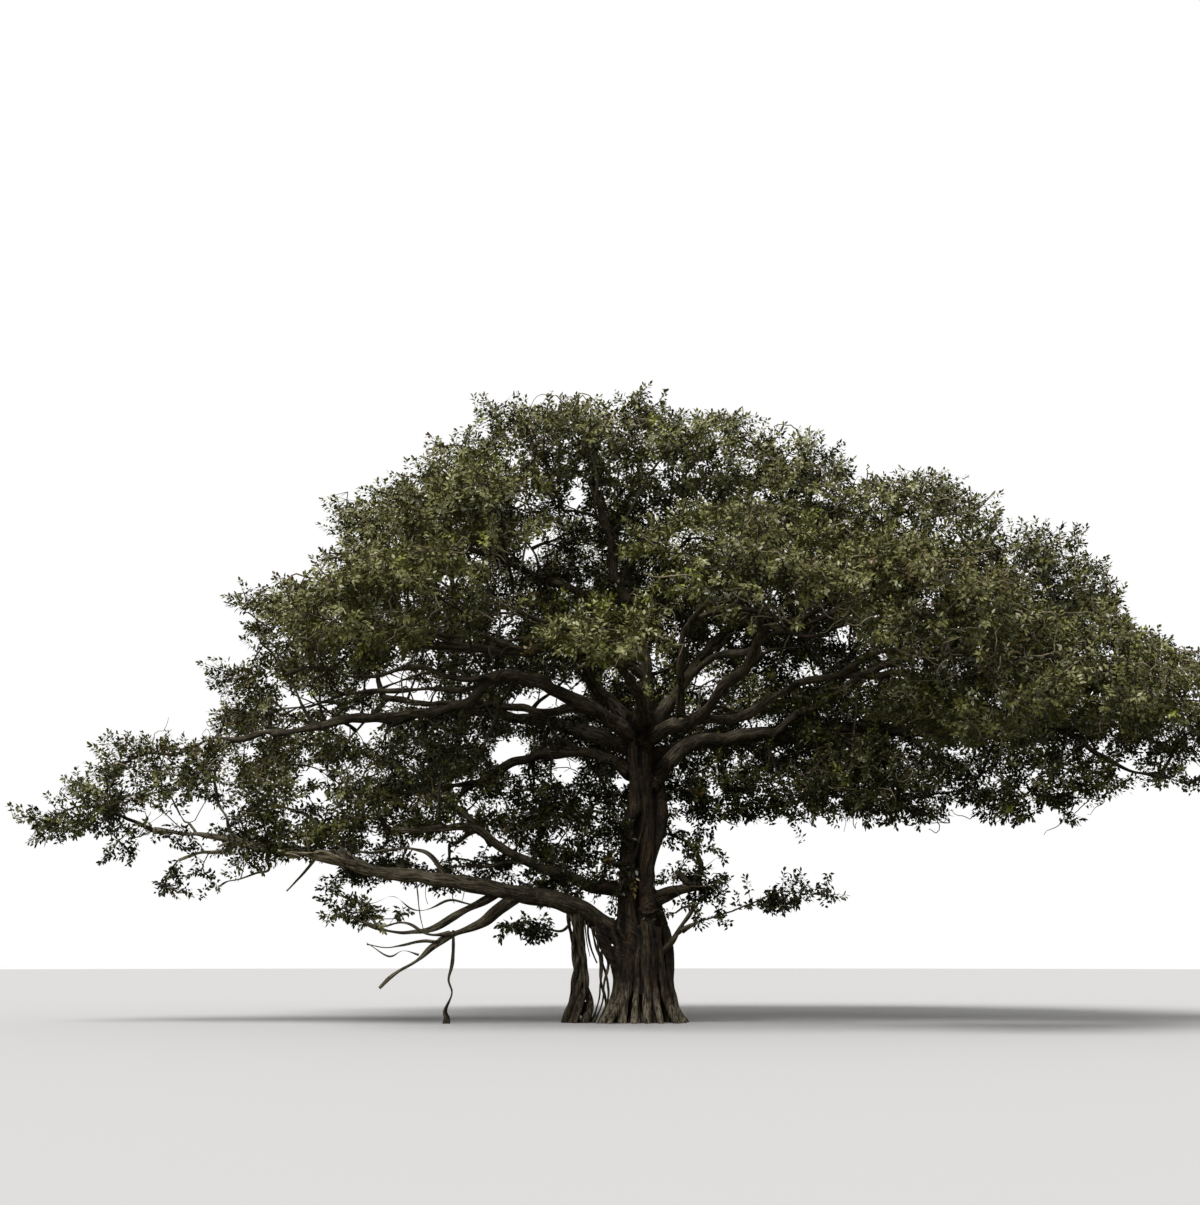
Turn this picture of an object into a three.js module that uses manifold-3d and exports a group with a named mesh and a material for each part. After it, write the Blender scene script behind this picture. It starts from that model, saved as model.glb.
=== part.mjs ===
import * as THREE from "three";
import { mergeVertices } from "three/addons/utils/BufferGeometryUtils.js";
import Module from "manifold-3d";

// An old banyan that stands alone: one trunk of fused aerial roots, a prop trunk and two thinner
// props, long boughs, and a crown of separate foliage masses. Millimetres, +Z up, ground at Z = 0.
// X runs across the crown and Y to its far side. The origin is the middle of the trunk's foot.

const gap = 12; // clear space between neighbouring solids
const ringStep = 980; // distance between the rings of a limb
const limbSides = 6;
const collarSwell = 0.3; // how much wider a bough is where it leaves its parent
const collarReach = 0.12; // share of the bough that the collar takes
const smallMass = 1000; // a mass narrower than this has fewer facets
const unevenness = 0.13; // depth of the lumps on a mass, as a share of its half size
const belly = 0.8; // underside of a mass against its top side
const weld = 1e-3; // corners nearer than this are one corner

// Trunk: height, lean in X, half width. The knees near 1.8 m are where the low boughs leave.
const trunkStations = [
  [0, 60, 980],
  [220, 40, 890],
  [580, 20, 770],
  [1110, 0, 715],
  [1830, -40, 780],
  [2350, -90, 600],
  [2900, -110, 455],
  [3400, -80, 390],
  [4000, 20, 415],
  [4560, 40, 450],
  [5400, 80, 340],
  [6300, 90, 335],
  [7000, 60, 350],
];
const trunkSides = 18;
const trunkDepthShare = 0.94; // the trunk is a little thinner from front to back
const fluteDepth = 0.07;
const fluteCount = 5;
const fluteTurn = 1900; // height over which the flutes turn by one radian
const buttressCount = 7;
const buttressDepth = 0.16;
const buttressHeight = 900;

const barkColor = 0x3b3129;
const paleBarkColor = 0x6b655a;
const paleFrom = -4500; // limbs whose foot is further out along X than this have pale bark
const leafColor = 0x3a3f22;
const youngLeafColor = 0x6d7437;

// Limbs: the points their middle passes through, and the radius at the foot and at the tip.
const limbs = {
  prop_trunk: {
    path: [[-1430, -200, 0], [-1425, -300, 860], [-1450, -400, 1670], [-1560, -480, 2380]],
    radii: [225, 150],
    flat: true,
  },
  prop_root: {
    path: [[-1085, -300, 0], [-850, -300, 470], [-870, -300, 890], [-850, -350, 1350], [-930, -380, 1800]],
    radii: [110, 70],
    flat: true,
  },
  aerial_root: {
    path: [[-4420, -900, 0], [-4300, -900, 440], [-4260, -900, 800], [-4360, -900, 1350], [-4300, -950, 1880]],
    radii: [60, 45],
    flat: true,
  },
  low_left_bough: {
    path: [[-380, -50, 1950], [-1180, -330, 2480], [-1740, -500, 2760], [-3180, -700, 3060], [-4800, -700, 3330]],
    radii: [300, 180],
  },
  low_left_bough_outer: {
    path: [[-4815, -700, 3332], [-6360, -800, 3500], [-8010, -800, 3900], [-9980, -600, 4300], [-11500, -500, 4450]],
    radii: [175, 70],
  },
  drooping_bough: {
    path: [[-2900, -720, 2900], [-3650, -1000, 2370], [-4490, -1050, 2000], [-5630, -1300, 1130], [-5990, -1400, 800]],
    radii: [160, 35],
  },
  arching_bough: {
    path: [[-350, 0, 3050], [-1530, -100, 3330], [-3030, -250, 3800], [-3860, -350, 4520], [-4730, -400, 4480], [-5900, -500, 4450]],
    radii: [155, 85],
  },
  left_mid_bough: {
    path: [[-250, 180, 5900], [-670, 700, 6230], [-1630, 1200, 6470], [-2910, 1700, 6260], [-4150, 1900, 5700]],
    radii: [160, 85],
  },
  long_left_bough: {
    path: [[-260, -130, 6820], [-1600, -1000, 7500], [-2790, -2100, 7980], [-3450, -2550, 7780], [-4000, -2750, 7180], [-5830, -2850, 6950], [-8500, -2000, 6550]],
    radii: [195, 80],
  },
  upper_left_bough: {
    path: [[-200, 160, 7080], [-990, 250, 7920], [-1560, -1000, 8880], [-2770, -2100, 8500], [-4380, -3000, 8520], [-5800, -3600, 8600]],
    radii: [165, 90],
  },
  leader: {
    path: [[70, 0, 7020], [110, 180, 8520], [-60, 250, 9500], [-660, 0, 10740], [-700, -150, 11580], [-1150, -300, 12900]],
    radii: [205, 85],
  },
  right_leader: {
    path: [[300, 200, 6800], [780, 600, 7850], [1500, 1150, 8800], [2120, 1500, 9420], [2740, 1700, 10500], [3400, 1500, 12000]],
    radii: [180, 85],
  },
  front_right_bough: {
    path: [[230, -250, 6650], [600, -900, 6790], [1200, -1750, 6900], [1760, -2800, 7330], [2280, -3900, 7950], [2700, -5000, 8700]],
    radii: [190, 95],
  },
  low_right_bough: {
    path: [[300, 100, 5600], [700, 300, 6120], [1410, 700, 6700], [2700, 1200, 6880], [4040, 1600, 6950]],
    radii: [230, 175],
  },
  low_right_bough_outer: {
    path: [[4055, 1603, 6951], [5520, 1800, 7100], [8020, 1000, 6950], [9700, 0, 6850], [11700, -1000, 6900]],
    radii: [168, 75],
  },
  right_stub_bough: {
    path: [[250, -120, 2780], [590, -280, 2960], [900, -380, 3050], [1200, -450, 3120]],
    radii: [190, 120],
  },
  front_bough: {
    path: [[40, -300, 7000], [-120, -2300, 7450], [-600, -4600, 7950], [-850, -6800, 8000]],
    radii: [170, 75],
  },
  back_left_bough: {
    path: [[-180, 260, 6480], [-1700, 2300, 7250], [-3900, 4700, 7900], [-6900, 6300, 8500]],
    radii: [200, 90],
  },
  back_bough: {
    path: [[90, 320, 6850], [250, 2200, 7700], [350, 4600, 8900], [200, 7400, 9900]],
    radii: [200, 90],
  },
  back_right_bough: {
    path: [[280, 300, 6250], [2000, 2700, 7050], [4200, 5200, 7350], [6000, 8400, 7500]],
    radii: [200, 90],
  },
};

// Foliage masses: the middle of each, its half sizes along X, Y and Z, and how far its outer edge
// hangs below its inner one, in radians. The crown is a low dome of pads, open round the fork.
const masses = {
  top_left: { at: [-3750, 0, 13150], half: [1900, 3100, 1350], hang: 0.45 },
  top_centre: { at: [-1450, 200, 13750], half: [1900, 3500, 1300], hang: 0.1 },
  top_right: { at: [1250, 300, 13600], half: [1750, 3500, 1350], hang: 0.1 },
  shoulder_right: { at: [3700, 200, 12750], half: [1650, 3200, 1450], hang: 0.2 },
  dome_right: { at: [6700, 0, 11650], half: [2150, 3400, 1600], hang: 0.2 },
  dome_right_outer: { at: [9250, -200, 10050], half: [2050, 3100, 1400], hang: 0.45 },
  right_edge: { at: [11600, -200, 8700], half: [1700, 2900, 1600], hang: 0.5 },
  far_right: { at: [14000, -200, 7150], half: [1800, 2500, 1650], hang: 0.2 },
  shoulder_left: { at: [-5750, -200, 11300], half: [1950, 3300, 1350], hang: 0.6 },
  left_bulge: { at: [-7500, -1400, 9050], half: [1750, 2900, 1250], hang: 0.15 },
  left_mid: { at: [-8900, 700, 7300], half: [1700, 2600, 950], hang: 0.15 },
  left_outer: { at: [-10250, -300, 5200], half: [1500, 2000, 1750], hang: 0.1 },
  left_tip: { at: [-12850, -500, 5250], half: [2050, 1500, 900], hang: 0.38 },
  left_low: { at: [-7500, -300, 5000], half: [2050, 2500, 1250], hang: 0.05 },
  left_low_inner: { at: [-4450, 1200, 5150], half: [1700, 2300, 1450], hang: 0 },
  left_core: { at: [-1900, 1300, 4500], half: [1500, 1750, 1650], hang: 0 },
  droop_tuft: { at: [-6500, -600, 2450], half: [750, 700, 350], hang: 0.1 },
  stub_mass_right: { at: [1350, -450, 3050], half: [700, 700, 400], hang: 0 },
  stub_tuft_right: { at: [3300, -600, 2950], half: [950, 700, 350], hang: 0 },
  left_middle: { at: [-3400, 3000, 8300], half: [2300, 2000, 1150], hang: 0.1 },
  right_middle: { at: [4700, 2700, 8000], half: [2400, 2000, 1150], hang: 0.1 },
  right_core: { at: [2100, 1500, 5500], half: [1600, 2000, 900], hang: 0 },
  right_under: { at: [5650, 1000, 5500], half: [1950, 2500, 1150], hang: 0.05 },
  right_low: { at: [9350, 400, 5550], half: [2200, 2500, 1100], hang: 0.1 },
  front_right_high: { at: [2500, -6100, 9600], half: [2600, 3200, 1350], hang: 0.4 },
  front_right_outer: { at: [6100, -6600, 8650], half: [2500, 3200, 1500], hang: 0.4 },
  front_right_low: { at: [6600, -6700, 6800], half: [2500, 2800, 1150], hang: 0.1 },
  front_right_edge: { at: [9900, -4200, 7500], half: [2150, 2800, 1550], hang: 0.3 },
  front_centre: { at: [-850, -7700, 7800], half: [1500, 1600, 900], hang: 0.2 },
  front_left_high: { at: [-3900, -4900, 10850], half: [2300, 2800, 1350], hang: 0.4 },
  front_left: { at: [-5400, -5900, 8850], half: [2300, 2900, 1300], hang: 0.3 },
  back_left_high: { at: [-5000, 5600, 10800], half: [3000, 3200, 1700], hang: 0.4 },
  back_centre_high: { at: [-200, 6000, 11500], half: [2900, 3300, 1800], hang: 0.45 },
  back_right_high: { at: [5000, 5900, 11000], half: [3100, 3300, 1800], hang: 0.4 },
  back_right_outer: { at: [9500, 5000, 8900], half: [2900, 3200, 1800], hang: 0.4 },
  back_left: { at: [-8000, 5400, 8000], half: [2600, 3000, 1450], hang: 0.3 },
  back_left_low: { at: [-4700, 8700, 7300], half: [2900, 2600, 1600], hang: 0.3 },
  back_centre_low: { at: [300, 9300, 8300], half: [2900, 2600, 1700], hang: 0.35 },
  back_right_low: { at: [5500, 8700, 7500], half: [3000, 2800, 1600], hang: 0.3 },
};

// A limb that runs on through foliage: the masses are cut round it.
const through = ["trunk", "low_left_bough", "low_left_bough_outer", "arching_bough", "drooping_bough", "low_right_bough"];

const wasm = await Module();
wasm.setup();

function solidOf(geometry) {
  const bare = geometry.clone();
  bare.deleteAttribute("normal");
  bare.deleteAttribute("uv");
  const merged = mergeVertices(bare, weld);
  return new wasm.Manifold(
    new wasm.Mesh({
      numProp: 3,
      vertProperties: merged.attributes.position.array,
      triVerts: new Uint32Array(merged.index.array),
    }),
  );
}

function geometryOf(solid) {
  const mesh = solid.getMesh();
  const geometry = new THREE.BufferGeometry();
  geometry.setAttribute("position", new THREE.BufferAttribute(mesh.vertProperties, 3));
  geometry.setIndex(new THREE.BufferAttribute(mesh.triVerts, 1));
  return geometry;
}

// The value between the stations of a table, whose rows start with a height.
function between(stations, height, column) {
  let i = 1;
  while (i < stations.length - 1 && stations[i][0] < height) i += 1;
  const [low, high] = [stations[i - 1], stations[i]];
  const share = THREE.MathUtils.clamp((height - low[0]) / (high[0] - low[0]), 0, 1);
  return THREE.MathUtils.lerp(low[column], high[column], share);
}

// The trunk is a capped cylinder whose rings take the stations' width, flutes and buttresses.
function trunkGeometry(grow = 0) {
  const rings = trunkStations.length - 1;
  const geometry = new THREE.CylinderGeometry(1, 1, rings, trunkSides, rings);
  geometry.rotateX(Math.PI / 2);
  const place = geometry.attributes.position;
  for (let i = 0; i < place.count; i += 1) {
    const ring = Math.round(place.getZ(i) + rings / 2);
    const height = trunkStations[ring][0];
    const angle = Math.atan2(place.getY(i), place.getX(i));
    const middle = Math.hypot(place.getX(i), place.getY(i)) < 0.5;
    const low = Math.max(0, 1 - height / buttressHeight);
    const flutes = fluteDepth * Math.cos(fluteCount * angle + height / fluteTurn) * (1 - low);
    const buttresses = buttressDepth * low * Math.cos(buttressCount * angle);
    const radius = middle ? 0 : between(trunkStations, height, 2) * (1 + flutes + buttresses) + grow;
    const end = ring === 0 ? -grow : ring === rings ? grow : 0;
    place.setXYZ(
      i,
      between(trunkStations, height, 1) + radius * Math.cos(angle),
      radius * trunkDepthShare * Math.sin(angle),
      height + end,
    );
  }
  return geometry;
}

// A limb is a capped cylinder bent onto a smooth curve, thick at the foot and thin at the tip.
function limbGeometry({ path, radii, flat }, grow = 0) {
  const points = path.map((p) => new THREE.Vector3(...p));
  const curve = new THREE.CatmullRomCurve3(points, false, "centripetal");
  const rings = Math.max(3, Math.round(curve.getLength() / ringStep));
  const frames = curve.computeFrenetFrames(rings);
  const geometry = new THREE.CylinderGeometry(1, 1, rings, limbSides, rings);
  const place = geometry.attributes.position;
  const spot = new THREE.Vector3();
  for (let i = 0; i < place.count; i += 1) {
    const ring = Math.round(place.getY(i) + rings / 2);
    const share = ring / rings;
    const collar = 1 + collarSwell * Math.max(0, 1 - share / collarReach);
    const radius = THREE.MathUtils.lerp(radii[0], radii[1], share ** 0.8) * collar + grow;
    const end = ring === 0 ? -grow : ring === rings ? grow : 0;
    spot.copy(curve.getPointAt(share));
    spot.addScaledVector(frames.tangents[ring], end);
    spot.addScaledVector(frames.normals[ring], radius * place.getX(i));
    spot.addScaledVector(frames.binormals[ring], -radius * place.getZ(i));
    if (flat && ring === 0) spot.z = path[0][2] - (grow ? gap : 0);
    place.setXYZ(i, spot.x, spot.y, spot.z);
  }
  return geometry;
}

// How far an ellipsoid of the mass's half sizes reaches along a unit direction, once it hangs.
function reach(mass, direction) {
  const [halfX, halfY, halfZ] = mass.half;
  const hinge = new THREE.Vector3(-mass.at[1], mass.at[0], 0).normalize();
  const { x, y, z } = direction.clone().applyAxisAngle(hinge, -mass.hang);
  return 1 / Math.hypot(x / halfX, y / halfY, z / (z < 0 ? halfZ * belly : halfZ));
}

// Lumps on a mass: a few waves over its directions, turned by the mass's own number.
function lumps(direction, number) {
  const turn = number * 2.4;
  const first = Math.sin(3.1 * direction.x + 2.2 * direction.y + turn);
  const second = Math.sin(4.3 * direction.y - 3.4 * direction.z + 1.7 * turn);
  const third = Math.sin(5.2 * direction.z + 4.7 * direction.x - 2.3 * turn);
  return unevenness * (first + 0.8 * second + 0.6 * third) / 1.6;
}

// A mass is a ball pushed out to its half sizes, lumpy, and flattened where its neighbours begin.
function massGeometry(name, grow = 0) {
  const names = Object.keys(masses);
  const mass = masses[name];
  const number = names.indexOf(name) + 1;
  const middle = new THREE.Vector3(...mass.at);
  const walls = [];
  for (const other of names) {
    if (other === name) continue;
    const toward = new THREE.Vector3(...masses[other].at).sub(middle);
    const apart = toward.length();
    toward.normalize();
    const own = reach(mass, toward);
    const theirs = reach(masses[other], toward.clone().negate());
    if ((own + theirs) * (1 + 2 * unevenness) > apart) {
      walls.push({ toward, far: (apart * own) / (own + theirs) - gap / 2 });
    }
  }
  const geometry = new THREE.IcosahedronGeometry(1, mass.half[0] < smallMass ? 1 : 2);
  const place = geometry.attributes.position;
  const direction = new THREE.Vector3();
  for (let i = 0; i < place.count; i += 1) {
    direction.fromBufferAttribute(place, i).normalize();
    let radius = reach(mass, direction) * (1 + lumps(direction, number));
    for (const { toward, far } of walls) {
      const facing = direction.dot(toward);
      if (facing > 0) radius = Math.min(radius, far / facing);
    }
    direction.multiplyScalar(radius + grow).add(middle);
    place.setXYZ(i, direction.x, direction.y, direction.z);
  }
  return geometry;
}

// The body of a cut solid that holds most of it, or that starts nearest to a point.
function mainBody(solid, foot) {
  const bodies = solid.decompose();
  const distance = (body) => {
    const box = body.boundingBox();
    const near = new THREE.Box3(new THREE.Vector3(...box.min), new THREE.Vector3(...box.max));
    return near.distanceToPoint(foot);
  };
  if (foot) return bodies.sort((a, b) => distance(a) - distance(b) || b.volume() - a.volume())[0];
  return bodies.sort((a, b) => b.volume() - a.volume())[0];
}

function material(color) {
  return new THREE.MeshStandardMaterial({ color, roughness: 0.8, metalness: 0, flatShading: true });
}

function named(name, solid, color) {
  const mesh = new THREE.Mesh(geometryOf(solid), material(color));
  mesh.name = name;
  return mesh;
}

const tree = new THREE.Group();
const stems = new THREE.Group();
const crown = new THREE.Group();
tree.add(stems, crown);

// Trunk first, then each limb cut away from the stems before it and from the foliage at its tip.
const grown = { trunk: solidOf(trunkGeometry(gap)) };
stems.add(named("trunk", solidOf(trunkGeometry()), barkColor));
for (const [name, limb] of Object.entries(limbs)) {
  let solid = solidOf(limbGeometry(limb));
  for (const stem of Object.values(grown)) solid = solid.subtract(stem);
  if (!through.includes(name)) {
    for (const mass of Object.keys(masses)) solid = solid.subtract(solidOf(massGeometry(mass, gap)));
  }
  grown[name] = solidOf(limbGeometry(limb, gap));
  const foot = new THREE.Vector3(...limb.path[limb.flat ? 0 : 1]);
  stems.add(named(name, mainBody(solid, foot), limb.path[0][0] < paleFrom ? paleBarkColor : barkColor));
}

for (const name of Object.keys(masses)) {
  let solid = solidOf(massGeometry(name));
  for (const stem of through) solid = solid.subtract(grown[stem]);
  crown.add(named(name, mainBody(solid), name.startsWith("front") ? youngLeafColor : leafColor));
}

export default tree;
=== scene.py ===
import itertools
import math

import bmesh
import bpy
import numpy as np
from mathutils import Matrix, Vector
from mathutils.bvhtree import BVHTree
from mathutils.kdtree import KDTree


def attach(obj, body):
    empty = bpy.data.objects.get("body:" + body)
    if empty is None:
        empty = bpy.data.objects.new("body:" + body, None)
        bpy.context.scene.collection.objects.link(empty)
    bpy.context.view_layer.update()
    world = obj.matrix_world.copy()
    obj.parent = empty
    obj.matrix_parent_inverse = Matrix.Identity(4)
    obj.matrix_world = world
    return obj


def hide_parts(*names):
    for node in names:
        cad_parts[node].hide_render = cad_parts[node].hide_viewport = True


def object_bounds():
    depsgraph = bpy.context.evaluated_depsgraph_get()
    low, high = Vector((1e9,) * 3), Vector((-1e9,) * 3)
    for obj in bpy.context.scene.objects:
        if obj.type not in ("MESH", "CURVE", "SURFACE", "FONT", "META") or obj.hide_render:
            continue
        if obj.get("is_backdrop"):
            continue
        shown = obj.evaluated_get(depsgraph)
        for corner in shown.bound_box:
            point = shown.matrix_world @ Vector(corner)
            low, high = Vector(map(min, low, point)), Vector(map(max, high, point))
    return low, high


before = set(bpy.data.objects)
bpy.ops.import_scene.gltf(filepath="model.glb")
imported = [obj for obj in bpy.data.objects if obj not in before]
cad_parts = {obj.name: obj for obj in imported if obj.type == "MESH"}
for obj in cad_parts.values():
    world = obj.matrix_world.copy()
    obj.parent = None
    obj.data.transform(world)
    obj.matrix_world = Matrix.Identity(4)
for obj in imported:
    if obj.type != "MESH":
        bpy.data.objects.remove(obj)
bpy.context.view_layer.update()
dice = np.random.default_rng(23)

# small helpers

scatter = dict(axes=(12.99, 78.23, 37.72), seed=5.17, spread=43758.5)  # what makes the noise look random
anySide = (0.31, 0.83, 0.46)  # a direction that no limb runs along
curveSteps = 24  # between two points of a smooth line


def unit(a):
    return a / np.maximum(np.linalg.norm(a, axis=-1, keepdims=True), 1e-9)


def ease(t):
    # a soft step from 0 to 1
    t = np.clip(t, 0, 1)
    return t * t * (3 - 2 * t)


def noise(points, size, seed):
    # smooth unevenness from -1 to 1, with lumps about as wide as size
    p = np.asarray(points, float) / size
    cell = np.floor(p)
    part = ease(p - cell)
    total = np.zeros(p.shape[:-1])
    for corner in itertools.product((0, 1), repeat=3):
        share = np.prod(np.where(np.array(corner) == 1, part, 1 - part), axis=-1)
        raw = np.sin((cell + corner) @ np.array(scatter["axes"]) + seed * scatter["seed"]) * scatter["spread"]
        total += share * (raw - np.floor(raw))
    return total * 2 - 1


def uneven(points, look, seed):
    strong, size = look
    return strong * noise(points, size, seed)


def wander(points, look, seed):
    # how far each point strays, and in which direction
    strong, size = look
    return np.stack([noise(points, size, seed + i) for i in range(3)], axis=-1) * strong


def fade(value, start, width):
    # 0 up to start and 1 a width further on, which may be below it
    return ease((value - start) / width)


def wave(t, number, strong, rate, apart):
    # the swing of one strand among several
    return strong * np.sin(t * rate + number * apart)


def runAlong(line):
    # how far each place of the line is from its start
    return np.concatenate([[0], np.cumsum(np.linalg.norm(np.diff(line, axis=0), axis=1))])


def lineThrough(points, spacing):
    # a smooth line through the points, with a place every so many metres
    p = np.array(points, float)
    p = np.vstack([2 * p[0] - p[1], p, 2 * p[-1] - p[-2]])
    fine = []
    t = np.linspace(0, 1, curveSteps, endpoint=False)[:, None]
    for a, b, c, d in zip(p, p[1:], p[2:], p[3:]):
        bend = (2 * a - 5 * b + 4 * c - d) * t**2 + (3 * b - a - 3 * c + d) * t**3
        fine.append(b + 0.5 * ((c - a) * t + bend))
    fine = np.vstack([*fine, p[-2][None]])
    run = runAlong(fine)
    even = np.linspace(0, run[-1], max(3, int(round(run[-1] / spacing)) + 1))
    return np.stack([np.interp(even, run, fine[:, i]) for i in range(3)], axis=1)


def frameAlong(line):
    # the line's direction at each place, and two directions across it that turn as little as they can
    along = unit(np.gradient(line, axis=0))
    across = np.zeros_like(along)
    side = unit(np.cross(along[0], anySide))
    for i, t in enumerate(along):
        side = unit(side - t * (side @ t))
        across[i] = side
    return along, across, np.cross(along, across)


def nearestOf(points):
    # a tree that finds the nearest of the points fast
    tree = KDTree(len(points))
    for i, p in enumerate(points):
        tree.insert(p, i)
    tree.balance()
    return tree


def newObject(name, data):
    made = bpy.data.objects.new(name, data)
    bpy.context.scene.collection.objects.link(made)
    return made


def newPiece(name, mesh, materials, replaced=()):
    # a finished piece of the tree, in place of the CAD nodes that it replaces
    for material in materials:
        mesh.materials.append(material)
    piece = newObject(name, mesh)
    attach(piece, "root")
    if replaced:
        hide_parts(*replaced)
    print(name, "triangles", len(mesh.loops) - 2 * len(mesh.polygons))


def newMaterial(name, colour, roughness, specular=0.5):
    material = bpy.data.materials.new(name)
    material.use_nodes = True
    shader = material.node_tree.nodes["Principled BSDF"]
    shader.inputs["Base Color"].default_value = (*colour, 1)
    shader.inputs["Roughness"].default_value = roughness
    shader.inputs["Specular IOR Level"].default_value = specular
    return material


def feed(tree, value, socket):
    # a number or a colour is set on the socket, and another node's output is linked to it
    if isinstance(value, bpy.types.NodeSocket):
        tree.links.new(value, socket)
    else:
        socket.default_value = value


def addNode(tree, kind, **values):
    # values are the node's inputs, or else its own settings
    node = tree.nodes.new(kind)
    for key, value in values.items():
        if key in node.inputs:
            feed(tree, value, node.inputs[key])
        else:
            setattr(node, key, value)
    return node


def seenAndLit(tree, seen, lit, end):
    # the camera sees the one shader, and light meets the other
    path = addNode(tree, "ShaderNodeLightPath")
    choice = addNode(tree, "ShaderNodeMixShader")
    tree.links.new(path.outputs["Is Camera Ray"], choice.inputs[0])
    tree.links.new(lit.outputs[0], choice.inputs[1])
    tree.links.new(seen.outputs[0], choice.inputs[2])
    tree.links.new(choice.outputs[0], tree.nodes[end].inputs["Surface"])


# camera, floor and light

view = dict(eye=(-0.94, -46.0, 1.6), pitch=10.36, lens=57.51, sensor=36.0, clip=(0.1, 600))
camera = newObject("camera", bpy.data.cameras.new("camera"))
camera.location = view["eye"]
camera.rotation_euler = (math.radians(90 + view["pitch"]), 0, 0)
camera.data.sensor_fit = "HORIZONTAL"
camera.data.sensor_width = view["sensor"]
camera.data.lens = view["lens"]
camera.data.clip_start, camera.data.clip_end = view["clip"]
bpy.context.scene.camera = camera
bpy.context.scene.view_settings.view_transform = "Standard"

ground = dict(
    reach=160.0, edges=96,
    tone=(0.47, 0.48, 0.52), roughness=0.9,
    sentUp=(0.085, 0.082, 0.055),  # what the tree gets back from it
)
floorMesh = bpy.data.meshes.new("floor")
bm = bmesh.new()
bmesh.ops.create_circle(bm, cap_ends=True, segments=ground["edges"], radius=ground["reach"])
bm.to_mesh(floorMesh)
bm.free()
floor = newObject("floor", floorMesh)
floorPaint = newMaterial("pale floor", ground["tone"], ground["roughness"])
floorNodes = floorPaint.node_tree
floorDim = addNode(floorNodes, "ShaderNodeBsdfDiffuse", Color=(*ground["sentUp"], 1))
seenAndLit(floorNodes, floorNodes.nodes["Principled BSDF"], floorDim, "Material Output")
floorMesh.materials.append(floorPaint)
floor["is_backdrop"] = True

daylight = dict(
    backdrop=1.0,  # how bright the sky looks
    sky=(1.0, 0.975, 0.90), skyStrength=0.56,  # the light that it gives
    lamp=3.8, lampColour=(1.0, 0.965, 0.88), spread=36, tilt=(27, -20),
)
world = bpy.data.worlds.new("soft sky")
world.use_nodes = True
skyNodes = world.node_tree
skyLight = skyNodes.nodes["Background"]
skyLight.inputs["Color"].default_value = (*daylight["sky"], 1)
skyLight.inputs["Strength"].default_value = daylight["skyStrength"]
backdrop = addNode(skyNodes, "ShaderNodeBackground", Color=(1, 1, 1, 1), Strength=daylight["backdrop"])
seenAndLit(skyNodes, backdrop, skyLight, "World Output")
bpy.context.scene.world = world
lamp = newObject("overhead", bpy.data.lights.new("overhead", "SUN"))
lamp.data.energy = daylight["lamp"]
lamp.data.color = daylight["lampColour"]
lamp.data.angle = math.radians(daylight["spread"])
lamp.rotation_euler = (*(math.radians(angle) for angle in daylight["tilt"]), 0)
print("camera, floor and light")

# wood: tubes along lines, grown together where asked, with the bark's relief

reliefLook = dict(
    smoothed=2,  # rounds before the relief
    ground=0.004,  # below this height nothing moves
    near=(14, 0.022),  # rounds of smoothing that tell a hollow from a ridge, and how deep a full hollow is
    far=70,  # the same for the trunk's wide flutes
    limbShift=7.3,  # between the patterns of two limbs
)
paleReach = dict(outwards=(-2.8, -4.6), low=(5.6, -0.6))  # the low boughs on the left get paler outwards, painted light where they reach out of the crown's shade


def finalMesh(holder):
    # the holder's shape as a plain mesh, and the holder goes
    bpy.context.view_layer.update()
    graph = bpy.context.evaluated_depsgraph_get()
    mesh = bpy.data.meshes.new_from_object(holder.evaluated_get(graph))
    bpy.data.objects.remove(holder)
    return mesh


def tubes(name, lines, sides):
    # round wood along each line, as one mesh
    curve = bpy.data.curves.new(name, "CURVE")
    curve.dimensions = "3D"
    curve.bevel_depth = 1.0
    curve.bevel_resolution = sides // 2 - 2
    curve.use_fill_caps = True
    for line, radius in lines:
        spline = curve.splines.new("POLY")
        spline.points.add(len(line) - 1)
        spline.points.foreach_set("co", np.column_stack([line, np.ones(len(line))]).ravel())
        spline.points.foreach_set("radius", np.asarray(radius, np.float32))
    return finalMesh(newObject(name, curve))


def fused(name, strands, sides, voxel):
    # grows touching strands into one skin, closed by a flat cut at the ground
    holder = newObject(name, tubes(name + " strands", strands, sides))
    skin = holder.modifiers.new("skin", "REMESH")
    skin.mode = "VOXEL"
    skin.voxel_size = voxel
    mesh = finalMesh(holder)
    bm = bmesh.new()
    bm.from_mesh(mesh)
    everything = bm.verts[:] + bm.edges[:] + bm.faces[:]
    bmesh.ops.bisect_plane(
        bm, geom=everything, dist=1e-5, plane_co=(0, 0, 0), plane_no=(0, 0, -1), clear_outer=True
    )
    rim = [e for e in bm.edges if e.is_boundary]
    bmesh.ops.holes_fill(bm, edges=rim, sides=0)
    bmesh.ops.recalc_face_normals(bm, faces=bm.faces)
    bm.to_mesh(mesh)
    bm.free()
    return mesh


def vectorsOf(items, name):
    values = np.zeros(len(items) * 3, np.float32)
    items.foreach_get(name, values)
    return values.reshape(-1, 3).astype(float)


def moveVertices(mesh, co):
    mesh.vertices.foreach_set("co", co.astype(np.float32).ravel())
    mesh.update()


def setAttribute(mesh, name, values):
    vector = values.ndim == 2
    if name not in mesh.attributes:
        mesh.attributes.new(name, "FLOAT_VECTOR" if vector else "FLOAT", "POINT")
    layer = mesh.attributes[name].data
    layer.foreach_set("vector" if vector else "value", values.astype(np.float32).ravel())


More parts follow.
